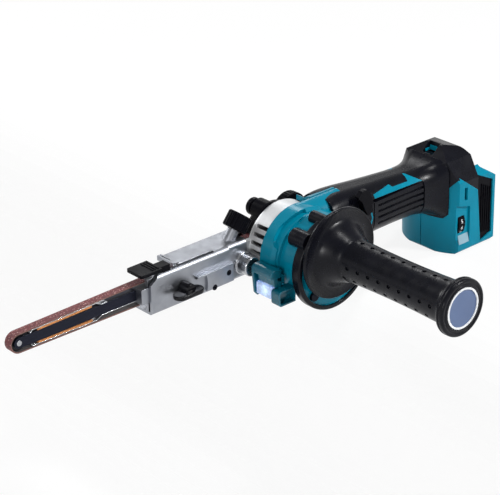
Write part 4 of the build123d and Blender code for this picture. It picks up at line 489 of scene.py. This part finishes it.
def cork(name, colour):
    """Springy pad: pressed crumbs with darker seams."""
    material, tree, shader, place = begin(name)
    crumbs, hues = cells(tree, place, 900.0)
    hue = red_of(tree, hues)
    tone = mix(tree, hue, dimmed(colour, 0.62), dimmed(colour, 1.25))
    seam = spread(tree, crumbs, 0.55, 0.75)
    feed(tree, shader, {
        "Base Color": mix(tree, times(tree, seam, 0.6), tone, dimmed(colour, 0.35)),
        "Roughness": spread(tree, hue, 0.0, 1.0, 0.7, 0.92),
        "Normal": bumped(tree, crumbs, 0.5, 0.00012, facing(tree)),
    })
    return material


def lens(name, colour, light, low, high):
    """Clear moulded lens with fine flow lines, lit from behind round a spot below its middle."""
    material, tree, shader, place = begin(name)
    normal, edge = rounded(tree)
    flow = noise(tree, stretched(tree, place, (1.0, 1.0, 6.0)), 120.0, 2.0)
    spot = [near + (far - near) * share for near, far, share in zip(low, high, LAMP_SPOT)]
    away = put(tree, "ShaderNodeVectorMath", {0: place, 1: spot}, operation="DISTANCE").outputs["Value"]
    pebbled = added(tree, away, times(tree, cells(tree, place, 420.0)[0], 0.003))
    feed(tree, shader, {
        "Base Color": mix(tree, edge, colour, WHITE),
        "Roughness": spread(tree, flow, 0.3, 0.7, 0.03, 0.12),
        "Normal": bumped(tree, flow, 0.1, 0.0001, normal),
        "Transmission Weight": 0.6,
        "IOR": 1.45,
        "Emission Color": mix(tree, spread(tree, pebbled, 0.0025, GLOW_REACH), light, GLOW_RIM),
        "Emission Strength": spread(tree, pebbled, 0.0015, GLOW_REACH, 0.95, 0.25),
    })
    return material


def circuit(name, colour):
    """Solder-masked board with faint tracks."""
    material, tree, shader, place = begin(name)
    tracks = put(tree, "ShaderNodeTexBrick", {
        "Vector": place, "Scale": 260.0, "Color1": colour, "Color2": dimmed(colour, 0.8),
        "Mortar": dimmed(colour, 1.7), "Mortar Size": 0.03}).outputs[0]
    stain = spread(tree, noise(tree, place, 140.0, 3.0), 0.35, 0.7, 0.0, 0.35)
    feed(tree, shader, {
        "Base Color": mix(tree, stain, tracks, dimmed(colour, 0.55)),
        "Roughness": spread(tree, stain, 0.0, 0.35, 0.28, 0.45),
    })
    return material


FINISHES = {}

FINISH_NODES = {
    "teal": ("lamp_housing", "grip_inserts", "left_rear_shell", "right_rear_shell"),
    "polished": ("motor_case", "head_band", "right_shell"),
    "black": ("cam_lever", "thumb_tab", "tracking_knob", "clamp_knob", "release_button", "battery_rail",
              "terminal_block", "switch_body", "lock_lever", "fan", "speed_dial", "belt_cover"),
    "rubber": ("left_body_shell", "right_body_shell", "switch_paddle", "bumper_ring", "side_grip"),
    "cast": ("arm_holder", "side_plate", "slide_block", "bearing_plate"),
    "casting": ("drive_collar",),
    "steel": ("nose_pin", "upper_platen", "lower_platen", "side_boss", "boss_bolt",
              "tracking_screw", "grip_stud", "paddle_pin", "spindle", "pulley_screw",
              "left_bearing", "right_bearing", "tension_spring"),
    "slate": ("arm_bar",),
    "oxide": ("side_plate_screws", "case_screws"),
    "roller": ("nose_roller", "drive_pulley"),
    "iron": ("rotor", "stator"),
    "board": ("control_board", "lamp_board"),
    "lens": ("lamp_lens",),
    "white": ("grip_end_ring",),
    "blue": ("grip_end_cap",),
    "brass": ("terminal_blades",),
    "grit": ("abrasive_belt",),
    "pad": ("upper_pad", "lower_pad"),
}


def grip_axis():
    """Point on the side grip's axis, at y 0."""
    low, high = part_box("side_grip")
    return Vector(((low.x + high.x) / 2, 0.0, (low.z + high.z) / 2))


class SANDER_OT_finishes(bpy.types.Operator):
    """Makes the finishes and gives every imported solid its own"""

    bl_idname = "sander.finishes"
    bl_label = "Finishes"

    def execute(self, context):
        paint = colours()
        FINISHES.update({
            # A plastic's pale and rub values set how bright and how strong its paler edges are, which are
            # wear and painted highlight together.
            "teal": plastic("teal_plastic", paint.teal, 0.34, pale=1.8, rub_and_highlight=0.7, coat=0.1, gloss=0.05),
            "polished": plastic("polished_teal", paint.teal, 0.3, pale=1.8, rub_and_highlight=0.7, coat=0.34, gloss=0.06),
            # The pocket ramp is the teal taken a quarter of the way to white: painted light on the sloping
            # foot.
            "ramp": plastic("ramp_lit_teal", mixed(paint.teal, 0.25), 0.3, coat=0.2, gloss=0.2),
            # The lamp hood is the case's teal dimmed to 0.45 as painted shade under the head band, with a
            # strong painted highlight on its edges.
            "hood": plastic(
                "lamp_hood_shaded_teal", dimmed(paint.teal, 0.45), 0.24, pale=2.6, rub_and_highlight=0.9, coat=0.5, gloss=0.2),
            "black": plastic("black_plastic", paint.black, 0.3, pale=2.4, gloss=0.05),
            "gloss": plastic("polished_black", paint.black, 0.2, pale=2.0, gloss=0.2),
            "rubber": rubber("soft_rubber", paint.rubber, 0.28, 0.15),
            "grip": rubber("grip_rubber", paint.rubber, 0.28, 0.17, (grip_axis(), 150.0, 0.027, 0.0352)),
            "cast": cast_metal("cast_aluminium", paint.aluminium, 0.4),
            "casting": cast_metal("ring_casting", paint.casting, 0.44, 0.55),
            "steel": drawn_metal("bright_steel", paint.steel, 0.26),
            "slate": drawn_metal("blackened_steel", paint.slate, 0.42),
            "oxide": drawn_metal("oxide_steel", dimmed(paint.slate, 0.5), 0.38),
            "roller": plastic("roller_black", dimmed(paint.black, 1.2), 0.3, pale=3.0, gloss=0.25),
            "iron": drawn_metal("motor_iron", paint.iron, 0.5, (900.0, 60.0, 900.0)),
            "board": circuit("circuit_board", paint.board),
            "lens": lens("lamp_lens_clear", (0.93, 0.97, 1.0, 1.0), paint.light, *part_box("lamp_lens")),
            "white": plastic("white_plastic", paint.white, 0.34, pale=1.1),
            "blue": plastic("blue_plastic", paint.blue, 0.4, pale=1.3),
            "brass": drawn_metal("contact_brass", paint.brass, 0.3),
            "grit": grit_cloth("abrasive_grain", paint.grit),
            "cloth": woven("belt_cloth", paint.cloth),
            # The belt's inside takes the darker cloth as painted shade.
            "backing": woven("belt_backing_shaded", paint.backing),
            "pad": cork("platen_pad", paint.pad),
        })
        for finish, nodes in FINISH_NODES.items():
            for node in nodes:
                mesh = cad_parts[node].data
                mesh.materials.clear()
                mesh.materials.append(FINISHES[finish])
        return {"FINISHED"}


# Mesh helpers


def piece(name, bm, *finishes, smooth=True):
    """Object at the origin from a finished bmesh."""
    mesh = bpy.data.meshes.new(name)
    bm.to_mesh(mesh)
    bm.free()
    for finish in finishes:
        mesh.materials.append(FINISHES[finish])
    if smooth:
        mesh.shade_smooth()
    obj = bpy.data.objects.new(name, mesh)
    bpy.context.scene.collection.objects.link(obj)
    return obj


def merge(bm, distance=0.00001):
    bmesh.ops.remove_doubles(bm, verts=bm.verts, dist=distance)
    bmesh.ops.recalc_face_normals(bm, faces=bm.faces)


def wire(bm, points, closed=False):
    """Vertices joined by edges, in order."""
    verts = [bm.verts.new(point) for point in points]
    edges = [bm.edges.new(pair) for pair in zip(verts, verts[1:])]
    if closed:
        edges.append(bm.edges.new((verts[-1], verts[0])))
    return verts + edges


def turn(bm, geom, centre, axis, angle, steps, advance=(0.0, 0.0, 0.0), whole=False):
    """Spins geometry and returns what the last step made."""
    return bmesh.ops.spin(
        bm, geom=geom, cent=centre, axis=axis, dvec=advance, angle=angle, steps=steps, use_merge=whole
    )["geom_last"]


def only(parts, kind):
    return [part for part in parts if isinstance(part, kind)]


def between(bm, verts):
    """Edges with both ends among some vertices."""
    keep = set(verts)
    return [edge for edge in bm.edges if edge.verts[0] in keep and edge.verts[1] in keep]


def length_along(edge, axis):
    """How far an edge reaches along X, Y or Z, given as 0, 1 or 2."""
    return abs(edge.verts[0].co[axis] - edge.verts[1].co[axis])


def run(bm, geom, way):
    """Extrudes a section's edges along a straight way and returns the new section."""
    made = bmesh.ops.extrude_edge_only(bm, edges=only(geom, bmesh.types.BMEdge))["geom"]
    verts = only(made, bmesh.types.BMVert)
    bmesh.ops.translate(bm, verts=verts, vec=way)
    return verts + between(bm, verts)


def round_off(bm, geom, offset, segments, affect="EDGES"):
    """Bevels edges or corners."""
    bmesh.ops.bevel(
        bm, geom=geom, offset=offset, affect=affect, segments=segments, profile=0.5, material=-1)


def soften(bm, verts, offset, segments=3):
    """Rounds the sharp edges between some vertices, by millimetres."""
    sharp = 0.5
    edges = [edge for edge in between(bm, verts)
             if len(edge.link_faces) == 2 and edge.calc_face_angle() > sharp]
    round_off(bm, edges, offset * MM, segments)


def block(bm, low, high):
    """Box between two corners in millimetres; returns its vertices."""
    low = Vector(low) * MM
    high = Vector(high) * MM
    verts = bmesh.ops.create_cube(bm, size=1.0)["verts"]
    bmesh.ops.scale(bm, vec=high - low, verts=verts)
    bmesh.ops.translate(bm, vec=(low + high) / 2, verts=verts)
    return verts


def slab(bm, outline, low, high, axis):
    """Flat outline in millimetres drawn out along X, Y or Z; returns its vertices."""
    order = {"X": (2, 0, 1), "Y": (0, 2, 1), "Z": (0, 1, 2)}[axis]

    def place(first, second, level):
        values = (first, second, level)
        return Vector([values[index] for index in order]) * MM

    corners = [bm.verts.new(place(first, second, low)) for first, second in outline]
    face = bm.faces.new(corners)
    made = bmesh.ops.extrude_face_region(bm, geom=[face])["geom"]
    tops = only(made, bmesh.types.BMVert)
    bmesh.ops.translate(bm, vec=place(0.0, 0.0, high - low), verts=tops)
    bmesh.ops.recalc_face_normals(bm, faces=list({f for v in corners + tops for f in v.link_faces}))
    return corners + tops


def ellipse(centre, half, steps):
    """Outline of an ellipse from its middle and its two half widths."""
    angles = [2 * math.pi * step / steps for step in range(steps)]
    return [(centre[0] + half[0] * math.cos(a), centre[1] + half[1] * math.sin(a)) for a in angles]


def oblong(centre, reach, radius, steps=10):
    """Outline with round ends along its first axis."""
    points = []
    for side, first in ((1, math.pi / 2), (-1, -math.pi / 2)):
        for step in range(steps + 1):
            angle = first - math.pi * step / steps
            points.append((centre[0] + side * reach + radius * math.cos(angle),
                           centre[1] + radius * math.sin(angle)))
    return points


def belt_line():
    """Place of the nose roller's axis along X, and the belt's slope to the level."""
    size = sizes()
    nose_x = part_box("abrasive_belt")[0].x + size.nose_loop + size.belt_thickness / 2
    return nose_x, math.asin((size.drive_loop - size.nose_loop) / -nose_x)


class SANDER_OT_belt(bpy.types.Operator):
    """Abrasive belt as one closed loop round the nose roller and the drive pulley"""

    bl_idname = "sander.belt"
    bl_label = "Abrasive belt"

    def execute(self, context):
        size = sizes()
        nose_x, slope = belt_line()
        half = size.belt_width / 2
        skin = size.belt_thickness / 2
        radial = Vector((-math.sin(slope), 0.0, math.cos(slope)))
        nose = Vector((nose_x, 0.0, 0.0))
        drive = Vector((0.0, 0.0, 0.0))
        span = (drive - nose).length * math.cos(slope)
        across = (0.0, 1.0, 0.0)
        bm = bmesh.new()
        start = nose + radial * size.nose_loop
        corners = ((-half, skin), (half, skin), (half, -skin), (-half, -skin))
        section = wire(bm, [start + Vector((0, y, 0)) + radial * out for y, out in corners], closed=True)
        section = turn(bm, section, nose, across, -(math.pi - 2 * slope), LOOP_STEPS)
        section = run(bm, section, Vector((math.cos(slope), 0.0, -math.sin(slope))) * span)
        section = turn(bm, section, drive, across, -(math.pi + 2 * slope), LOOP_STEPS)
        run(bm, section, Vector((-math.cos(slope), 0.0, -math.sin(slope))) * span)
        merge(bm, 0.00005)
        long = [edge for edge in bm.edges if edge.calc_length() > span / 2]
        bmesh.ops.subdivide_edges(bm, edges=long, cuts=RUN_CUTS, use_grid_fill=True)
        bm.normal_update()
        # Cut edges get the cloth; inward faces get the darkened backing, which paints the shade inside the
        # loop.
        for face in bm.faces:
            centre = face.calc_center_median()
            middle = Vector((min(0.0, max(nose_x, centre.x)), centre.y, 0.0))
            if abs(face.normal.y) > 0.5:
                face.material_index = 1
            elif face.normal.dot(centre - middle) < 0:
                face.material_index = 2
        belt = piece("belt_loop", bm, "grit", "cloth", "backing", smooth=False)
        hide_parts("abrasive_belt")
        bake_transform(belt)
        return {"FINISHED"}


class SANDER_OT_spring(bpy.types.Operator):
    """Tension spring behind the slide block, with a closed turn at each end"""

    bl_idname = "sander.spring"
    bl_label = "Tension spring"

    def execute(self, context):
        size = sizes()
        low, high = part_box("tension_spring")
        axis_y = (low.y + high.y) / 2
        thick = size.spring_wire / 2
        front = low.x + thick
        rear = high.x - thick
        bm = bmesh.new()
        place = Matrix.Translation((front, axis_y + size.spring_radius, 0.0))
        made = bmesh.ops.create_circle(bm, segments=WIRE_SIDES, radius=thick, matrix=place)
        section = made["verts"] + list(bm.edges)
        closed = size.spring_wire * CLOSED_PITCH
        opened = (rear - front - 2 * closed) / size.spring_turns
        for turns, pitch in ((1, closed), (size.spring_turns, opened), (1, closed)):
            count = COIL_STEPS * turns
            advance = (pitch * turns / count, 0.0, 0.0)
            section = turn(bm, section, (0, axis_y, 0), (1, 0, 0), 2 * math.pi * turns, count, advance)
        merge(bm)
        rims = [edge for edge in bm.edges if edge.is_boundary]
        bmesh.ops.holes_fill(bm, edges=rims, sides=0)
        bmesh.ops.recalc_face_normals(bm, faces=bm.faces)
        spring = piece("tension_coil", bm, "steel")
        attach(spring, "head")
        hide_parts("tension_spring")
        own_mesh(spring)
        return {"FINISHED"}


class SANDER_OT_pads(bpy.types.Operator):
    """Springy pads glued between the platens and the bar"""

    bl_idname = "sander.pads"
    bl_label = "Platen pads"

    def execute(self, context):
        slope = belt_line()[1]
        for node, side in (("upper_pad", 1), ("lower_pad", -1)):
            low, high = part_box(node)
            room = high - low
            bm = bmesh.new()
            bmesh.ops.create_cube(bm, size=1.0)
            bmesh.ops.scale(bm, vec=(room.x, room.y, sizes().pad_thickness), verts=bm.verts)
            rims = [edge for edge in bm.edges if length_along(edge, 0) < room.x / 2]
            round_off(bm, rims, PAD_ROUND, 3)
            long = [edge for edge in bm.edges if length_along(edge, 0) > room.x / 2]
            bmesh.ops.subdivide_edges(bm, edges=long, cuts=PAD_CUTS, use_grid_fill=True)
            lean = Matrix.Rotation(-side * slope, 3, "Y")
            bmesh.ops.rotate(bm, cent=(0, 0, 0), matrix=lean, verts=bm.verts)
            bmesh.ops.translate(bm, vec=(low + high) / 2, verts=bm.verts)
            bmesh.ops.recalc_face_normals(bm, faces=bm.faces)
            pad = piece(node + "_cork", bm, "pad", smooth=False)
            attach(pad, "sanding_arm")
            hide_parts(node)
        return {"FINISHED"}


class SANDER_OT_side_grip(bpy.types.Operator):
    """Rubber side grip: guard disc, bell, dimpled barrel and end flange"""

    bl_idname = "sander.side_grip"
    bl_label = "Side grip"

    def execute(self, context):
        size = sizes()
        axis = grip_axis()
        pitch = size.dimple_pitch / MM
        bm = bmesh.new()
        start = math.radians(GRIP_START + 180 / GRIP_STEPS)
        outward = Vector((math.cos(start), 0.0, math.sin(start)))
        points = [axis + outward * (r * MM) + Vector((0.0, y * MM, 0.0)) for r, y in self.profile(pitch)]
        turn(bm, wire(bm, points), axis, (0, 1, 0), 2 * math.pi, GRIP_STEPS, whole=True)
        merge(bm, 0.00002)
        pits = self.dimple_faces(bm, axis, pitch)
        for border, share in DIMPLE_INSETS:
            depth = -size.dimple_depth * share
            bmesh.ops.inset_individual(bm, faces=pits, thickness=border * MM, depth=depth)
        grip = piece("side_grip_rubber", bm, "grip")
        form = grip.modifiers.new("soft_form", "SUBSURF")
        form.levels = form.render_levels = 2
        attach(grip, "housing")
        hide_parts("side_grip")
        return {"FINISHED"}

    def profile(self, pitch):
        """Radius and place along Y of the turned outline, from the stud's hole to the end cap's seat."""
        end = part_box("side_grip")[0].y / MM
        root = [
            (0.0, -96.8), (4.02, -96.8), (4.02, -60.0), (12.6, -60.0), (13.0, -60.4), (13.0, -63.4),
            (13.4, -63.6), (35.2, -63.6), (35.9, -64.2), (35.9, -66.0), (35.5, -66.8), (34.8, -66.8),
            (34.2, -66.2), (30.5, -65.7), (27.6, -65.9), (26.2, -66.6), (24.4, -68.4), (22.6, -71.2),
            (20.9, -74.6), (19.2, -78.2), (17.9, -81.6),
        ]
        rings = [DIMPLE_FIRST + pitch / 2 * (1 - step) for step in range(2 * DIMPLE_COUNT)]
        middle = (rings[0] + rings[-1]) / 2
        reach = (rings[0] - rings[-1]) / 2
        half = pitch * DIMPLE_SHARE
        places = [y for ring in rings for y in (ring + half, ring - half)]
        barrel = [(GRIP_WAIST + GRIP_SWELL * ((y - middle) / reach) ** 2, y) for y in places]
        tail = [
            (16.7, 11.6), (17.2, 9.6), (18.4, 8.4), (20.4, 7.4), (21.6, 6.5), (22.0, 5.4), (22.0, 4.6),
            (21.5, 4.3), (21.5, 3.7), (22.0, 3.4), (22.0, 1.5), (21.6, 0.6), (20.6, 0.0), (19.2, 0.1),
            (18.9, 0.7), (18.0, 0.7), (17.7, 0.1), (16.2, 0.0), (15.63, 0.4), (15.63, 4.8), (15.2, 5.0),
            (0.0, 5.0),
        ]
        return root + barrel + [(radius, end + off) for radius, off in tail]

    def dimple_faces(self, bm, axis, pitch):
        """Faces of the barrel that become dimples, in rows set by half a pitch in turn."""
        rows = {}
        for step, lean in enumerate(DIMPLE_LEANS):
            rows[DIMPLE_MIDDLE + lean] = rows[DIMPLE_MIDDLE - lean] = pitch / 2 * (step % 2)
        pits = []
        for face in bm.faces:
            centre = (face.calc_center_median() - axis) / MM
            if not GRIP_RADII[0] < math.hypot(centre.x, centre.z) < GRIP_RADII[1]:
                continue
            angle = math.degrees(math.atan2(centre.z, centre.x))
            for row, shift in rows.items():
                off = (angle - row + 180) % 360 - 180
                along = (DIMPLE_FIRST + shift - centre.y) / pitch
                ring = round(along)
                if abs(off) < 2 and 0 <= ring < DIMPLE_COUNT and abs(along - ring) < 0.06:
                    pits.append(face)
        return pits


class SANDER_OT_cam_lever(bpy.types.Operator):
    """Wing lever that tensions the belt: barrel, oblong wing and hub on the pin"""

    bl_idname = "sander.cam_lever"
    bl_label = "Wing lever"

    def execute(self, context):
        x, z = LEVER_PIN
        wall = LEVER_WALL
        hub = ellipse(LEVER_PIN, (HUB_RADIUS, HUB_RADIUS), steps=28)
        barrel = ellipse((x + BARREL_SHIFT[0], z + BARREL_SHIFT[1]), BARREL_HALF, steps=32)
        wing = oblong((x + WING_MIDDLE[0], wall - WING_MIDDLE[1]), WING_REACH, WING_RADIUS)
        parts = (
            (hub, wall - HUB_DEPTH, wall, "Y", 0.6),
            (barrel, wall - BARREL_DEPTH, wall, "Y", 0.9),
            (wing, z + WING_LEVELS[0], z + WING_LEVELS[1], "Z", 0.7),
        )
        bm = bmesh.new()
        for outline, near, far, axis, radius in parts:
            soften(bm, slab(bm, outline, near, far, axis), radius)
        lever = piece("wing_lever", bm, "gloss")
        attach(lever, "cam_lever")
        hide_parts("cam_lever")
        return {"FINISHED"}


class SANDER_OT_lamp(bpy.types.Operator):
    """Lamp hood with its rounded bar, far post, back wall, open bracket and clear glass"""

    bl_idname = "sander.lamp"
    bl_label = "Lamp hood"

    def execute(self, context):
        low, high = (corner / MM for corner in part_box("lamp_housing"))
        front, top, foot = low.x, high.z, low.z
        bar = [(0.0, -6.2), (0.0, -3.4), (1.0, -1.4), (2.8, -0.2), (4.6, 0.0), (9.2, 0.0), (9.2, -6.6),
               (1.2, -6.6)]
        post = [(0.0, -6.0), (9.0, -6.0), (9.0, foot + 1 - top), (4.0, foot + 1 - top),
                (1.5, foot + 4 - top)]
        brow = [(6.5, -6.4), (5.4, -8.2), (8.0, -10.5), (14.0, -12.4), (14.0, -6.4)]
        visor = [(2.6, -6.0), (9.0, -6.0), (9.0, -14.4), (5.0, -14.4), (3.2, -12.0)]
        sections = (
            (bar, LAMP_SPLIT, high.y, 0.45),
            (post, high.y - 2.2, high.y, 0.5),
            (brow, LAMP_SPLIT, LAMP_SPLIT + 3.0, 0.6),
            (visor, LAMP_SPLIT, high.y - 3.6, 0.7),
        )
        bm = bmesh.new()
        for outline, near, far, radius in sections:
            placed = [(front + x, top + z) for x, z in outline]
            soften(bm, slab(bm, placed, near, far, "Y"), radius)
        back = block(bm, (front + 8.2, LAMP_SPLIT, foot + 2), (front + 10.6, high.y, top - 1))
        soften(bm, back, 0.3)
        cup = block(bm, (front + 2.4, low.y, foot), (front + 19.0, LAMP_SPLIT + 2.4, foot + 12.2))
        upright = [edge for edge in between(bm, cup)
                   if length_along(edge, 1) > MM and edge.verts[0].co.x < (front + 5) * MM]
        round_off(bm, upright, 2.6 * MM, 5)
        bm.normal_update()
        mouth = [face for face in bm.faces if face.normal.y < -0.99
                 and abs(face.calc_center_median().y - low.y * MM) < 0.0001]
        for border, depth in ((1.3, 0.0), (0.2, -4.6)):
            bmesh.ops.inset_region(bm, faces=mouth, thickness=border * MM, depth=depth * MM)
        # The hood's finish is the teal darkened as painted shade.
        hood = piece("lamp_hood", bm, "hood", smooth=False)
        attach(hood, "housing")
        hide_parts("lamp_housing")
        bm = bmesh.new()
        glass = block(
            bm, (front + 1.8, LAMP_SPLIT + 2.6, foot + 3.4), (front + 8.0, high.y - 2.4, top - 13.6))
        soften(bm, glass, 1.6, 5)
        clear = piece("lamp_glass", bm, "lens")
        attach(clear, "housing")
        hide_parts("lamp_lens")
        return {"FINISHED"}


class SANDER_OT_pocket_ramp(bpy.types.Operator):
    """Sloping foot of the dial's pocket, in a paler teal that paints the light falling on it"""

    bl_idname = "sander.pocket_ramp"
    bl_label = "Pocket ramp"

    def execute(self, context):
        bm = bmesh.new()
        slab(bm, RAMP_OUTLINE, *RAMP_SPAN, "X")
        ramp = piece("pocket_ramp", bm, "ramp", smooth=False)
        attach(ramp, "housing")
        return {"FINISHED"}


class SANDER_OT_strap_liner(bpy.types.Operator):
    """Coloured walls inside the strap hole"""

    bl_idname = "sander.strap_liner"
    bl_label = "Strap hole liner"

    def execute(self, context):
        bm = bmesh.new()
        for low, high in STRAP_WALLS:
            soften(bm, block(bm, low, high), 0.2, segments=2)
        liner = piece("strap_liner", bm, "teal", smooth=False)
        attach(liner, "housing")
        return {"FINISHED"}


class SANDER_OT_window_ribs(bpy.types.Operator):
    """Upright ribs on the black panels in the battery windows"""

    bl_idname = "sander.window_ribs"
    bl_label = "Window ribs"

    def execute(self, context):
        low, high = (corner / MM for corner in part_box("battery_rail"))
        half = sizes().rib_width / MM / 2
        bm = bmesh.new()
        for near, far in ((low.y - RIB_RISE, low.y), (high.y, high.y + RIB_RISE)):
            for index in range(RIB_COUNT):
                behind = RIB_FIRST + index * RIB_PITCH
                x = low.x + behind
                foot, top = (level + slope * behind for level, slope in (RIB_FOOT, RIB_TOP))
                block(bm, (x - half, near, foot), (x + half, far, top))
        round_off(bm, list(bm.edges), 0.15 * MM, 2)
        ribs = piece("window_ribs", bm, "black")
        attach(ribs, "housing")
        return {"FINISHED"}


class SANDER_OT_dial_digits(bpy.types.Operator):
    """White digits round the speed dial"""

    bl_idname = "sander.dial_digits"
    bl_label = "Dial digits"

    def execute(self, context):
        low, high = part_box("speed_dial")
        radius = (high.z - low.z) / 2
        stand = Matrix.Rotation(math.pi / 2, 4, "X")
        lift = Matrix.Translation((0.0, -radius, 0.0))
        place = Matrix.Translation((low + high) / 2)
        bm = bmesh.new()
        for index in range(DIGIT_COUNT):
            curve = bpy.data.curves.new("digit", "FONT")
            curve.body = str(index + 1)
            curve.size = sizes().digit_height
            curve.align_x = "CENTER"
            curve.align_y = "CENTER"
            curve.extrude = DIGIT_RELIEF
            holder = bpy.data.objects.new("digit", curve)
            flat = bpy.data.meshes.new_from_object(holder)
            bpy.data.objects.remove(holder)
            bpy.data.curves.remove(curve)
            count = len(bm.verts)
            bm.from_mesh(flat)
            bpy.data.meshes.remove(flat)
            bm.verts.ensure_lookup_table()
            around = Matrix.Rotation(math.radians(DIGIT_START + DIGIT_STEP * index), 4, "X")
            bmesh.ops.transform(bm, matrix=place @ around @ lift @ stand, verts=bm.verts[count:])
        digits = piece("dial_digits", bm, "white", smooth=False)
        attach(digits, "speed_dial")
        return {"FINISHED"}


class SANDER_OT_stage(bpy.types.Operator):
    """Pale floor, soft lamps, even sky and the camera"""

    bl_idname = "sander.stage"
    bl_label = "Studio stage"

    def execute(self, context):
        scene = context.scene
        stage = scene.sander_stage
        scene.view_settings.view_transform = "Standard"
        self.lay_floor(stage)
        self.light_sky(scene, stage)
        lamps = (
            ("key_light", stage.key, (0.75, -1.1, 1.05), 0.2, 0.2),
            ("side_light", stage.fill, (-1.35, -0.75, 0.5), 0.14, 0.28),
            ("top_light", stage.top, (0.25, -0.1, 1.55), 0.16, 0.16),
            ("back_light", stage.back, (0.8, 0.95, 0.85), 0.4, 0.22),
            ("far_light", stage.far, (-0.3, 1.4, 0.75), 0.4, 0.4),
        )
        for name, power, place, width, height in lamps:
            lamp = bpy.data.lights.new(name, "AREA")
            lamp.energy = power
            lamp.shape = "RECTANGLE"
            lamp.size = width
            lamp.size_y = height
            holder = bpy.data.objects.new(name, lamp)
            holder.location = place
            aim = STUDIO_AIM - Vector(place)
            holder.rotation_euler = aim.to_track_quat("-Z", "Y").to_euler()
            scene.collection.objects.link(holder)
        self.set_camera(scene, stage)
        return {"FINISHED"}

    def lay_floor(self, stage):
        """Floor with a smooth step under the arm; seen rays get plain white through the veil."""
        top = CAD_BOX[0].z - FLOOR_GAP
        outline = (
            (FLOOR_REACH, top),
            (stage.edge, top),
            (stage.edge, top - stage.drop),
            (-FLOOR_REACH, top - stage.drop),
        )
        bm = bmesh.new()
        line = wire(bm, [(x, -FLOOR_REACH, z) for x, z in outline])
        round_off(bm, [line[1], line[2]], stage.drop * FLOOR_ROUND, FLOOR_STEPS, "VERTICES")
        run(bm, list(bm.verts) + list(bm.edges), (0, 2 * FLOOR_REACH, 0))
        floor = piece("studio_floor", bm, smooth=False)
        material = bpy.data.materials.new("studio_floor")
        material.use_nodes = True
        tree = material.node_tree
        tree.nodes.clear()
        matte = put(tree, "ShaderNodeBsdfDiffuse", {"Color": stage.floor})
        white = put(tree, "ShaderNodeEmission", {"Color": WHITE, "Strength": 1.0})
        share = times(tree, self.seen(tree), stage.veil)
        both = put(tree, "ShaderNodeMixShader", {0: share, 1: matte.outputs[0], 2: white.outputs[0]})
        put(tree, "ShaderNodeOutputMaterial", {"Surface": both.outputs[0]})
        floor.data.materials.append(material)

    def seen(self, tree):
        """One for what the camera, gloss and glass see, zero for the light on the object."""
        path = put(tree, "ShaderNodeLightPath").outputs
        both = added(tree, path["Is Camera Ray"], path["Is Glossy Ray"])
        return spread(tree, added(tree, both, path["Is Transmission Ray"]), 0.0, 1.0)

    def light_sky(self, scene, stage):
        """Even light from all round; seen rays get a white wall under a darker ceiling."""
        world = bpy.data.worlds.new("studio_sky")
        scene.world = world
        world.use_nodes = True
        tree = world.node_tree
        tree.nodes.clear()
        way = put(tree, "ShaderNodeTexCoord").outputs["Generated"]
        height = put(tree, "ShaderNodeSeparateXYZ", {0: way}).outputs["Z"]
        wall = spread(tree, height, *WALL_FADE, 1.0, stage.ceiling)
        strength = pick(tree, self.seen(tree), stage.sky, wall)
        sky = put(tree, "ShaderNodeBackground", {"Color": WHITE, "Strength": strength})
        put(tree, "ShaderNodeOutputWorld", {"Surface": sky.outputs[0]})

    def set_camera(self, scene, stage):
        """Camera at the photograph's angle, looking past the spindle."""
        turned, lifted, roll = stage.azimuth, stage.elevation, stage.roll
        back = Vector((
            -math.sin(turned) * math.cos(lifted), -math.cos(turned) * math.cos(lifted), math.sin(lifted)))
        flat = Vector((math.cos(turned), -math.sin(turned), 0.0))
        over = back.cross(flat)
        right = flat * math.cos(roll) + over * math.sin(roll)
        up = over * math.cos(roll) - flat * math.sin(roll)
        data = bpy.data.cameras.new("photo_camera")
        data.lens = stage.lens
        data.sensor_width = SENSOR_WIDTH
        camera = bpy.data.objects.new("photo_camera", data)
        matrix = Matrix((right, up, back)).transposed().to_4x4()
        matrix.translation = back * stage.distance + right * stage.right + up * stage.rise
        camera.matrix_world = matrix
        scene.collection.objects.link(camera)
        scene.camera = camera


OPERATORS = (SANDER_OT_finishes, SANDER_OT_belt, SANDER_OT_spring, SANDER_OT_pads, SANDER_OT_side_grip,
             SANDER_OT_cam_lever, SANDER_OT_lamp, SANDER_OT_pocket_ramp, SANDER_OT_strap_liner,
             SANDER_OT_window_ribs, SANDER_OT_dial_digits, SANDER_OT_stage)


class SANDER_PT_panel(bpy.types.Panel):
    """Buttons, colours and sizes of the sander, and its stage"""

    bl_idname = "SANDER_PT_panel"
    bl_label = "Belt sander"
    bl_space_type = "VIEW_3D"
    bl_region_type = "UI"
    bl_category = "Sander"

    def draw(self, context):
        for operator in OPERATORS:
            self.layout.operator(operator.bl_idname)
        for group, kind in GROUPS.items():
            box = self.layout.box()
            for name in kind.__annotations__:
                box.prop(getattr(context.scene, group), name)


def register():
    for kind in (*GROUPS.values(), *OPERATORS, SANDER_PT_panel):
        bpy.utils.register_class(kind)
    for name, kind in GROUPS.items():
        setattr(bpy.types.Scene, name, PointerProperty(type=kind))


def unregister():
    for name in GROUPS:
        delattr(bpy.types.Scene, name)
    for kind in (SANDER_PT_panel, *reversed(OPERATORS), *GROUPS.values()):
        bpy.utils.unregister_class(kind)


def main():
    register()
    bpy.ops.sander.finishes()
    bpy.ops.sander.belt()
    bpy.ops.sander.spring()
    bpy.ops.sander.pads()
    bpy.ops.sander.side_grip()
    bpy.ops.sander.cam_lever()
    bpy.ops.sander.lamp()
    bpy.ops.sander.pocket_ramp()
    bpy.ops.sander.strap_liner()
    bpy.ops.sander.window_ribs()
    bpy.ops.sander.dial_digits()
    bpy.ops.sander.stage()


if __name__ == "__main__":
    main()
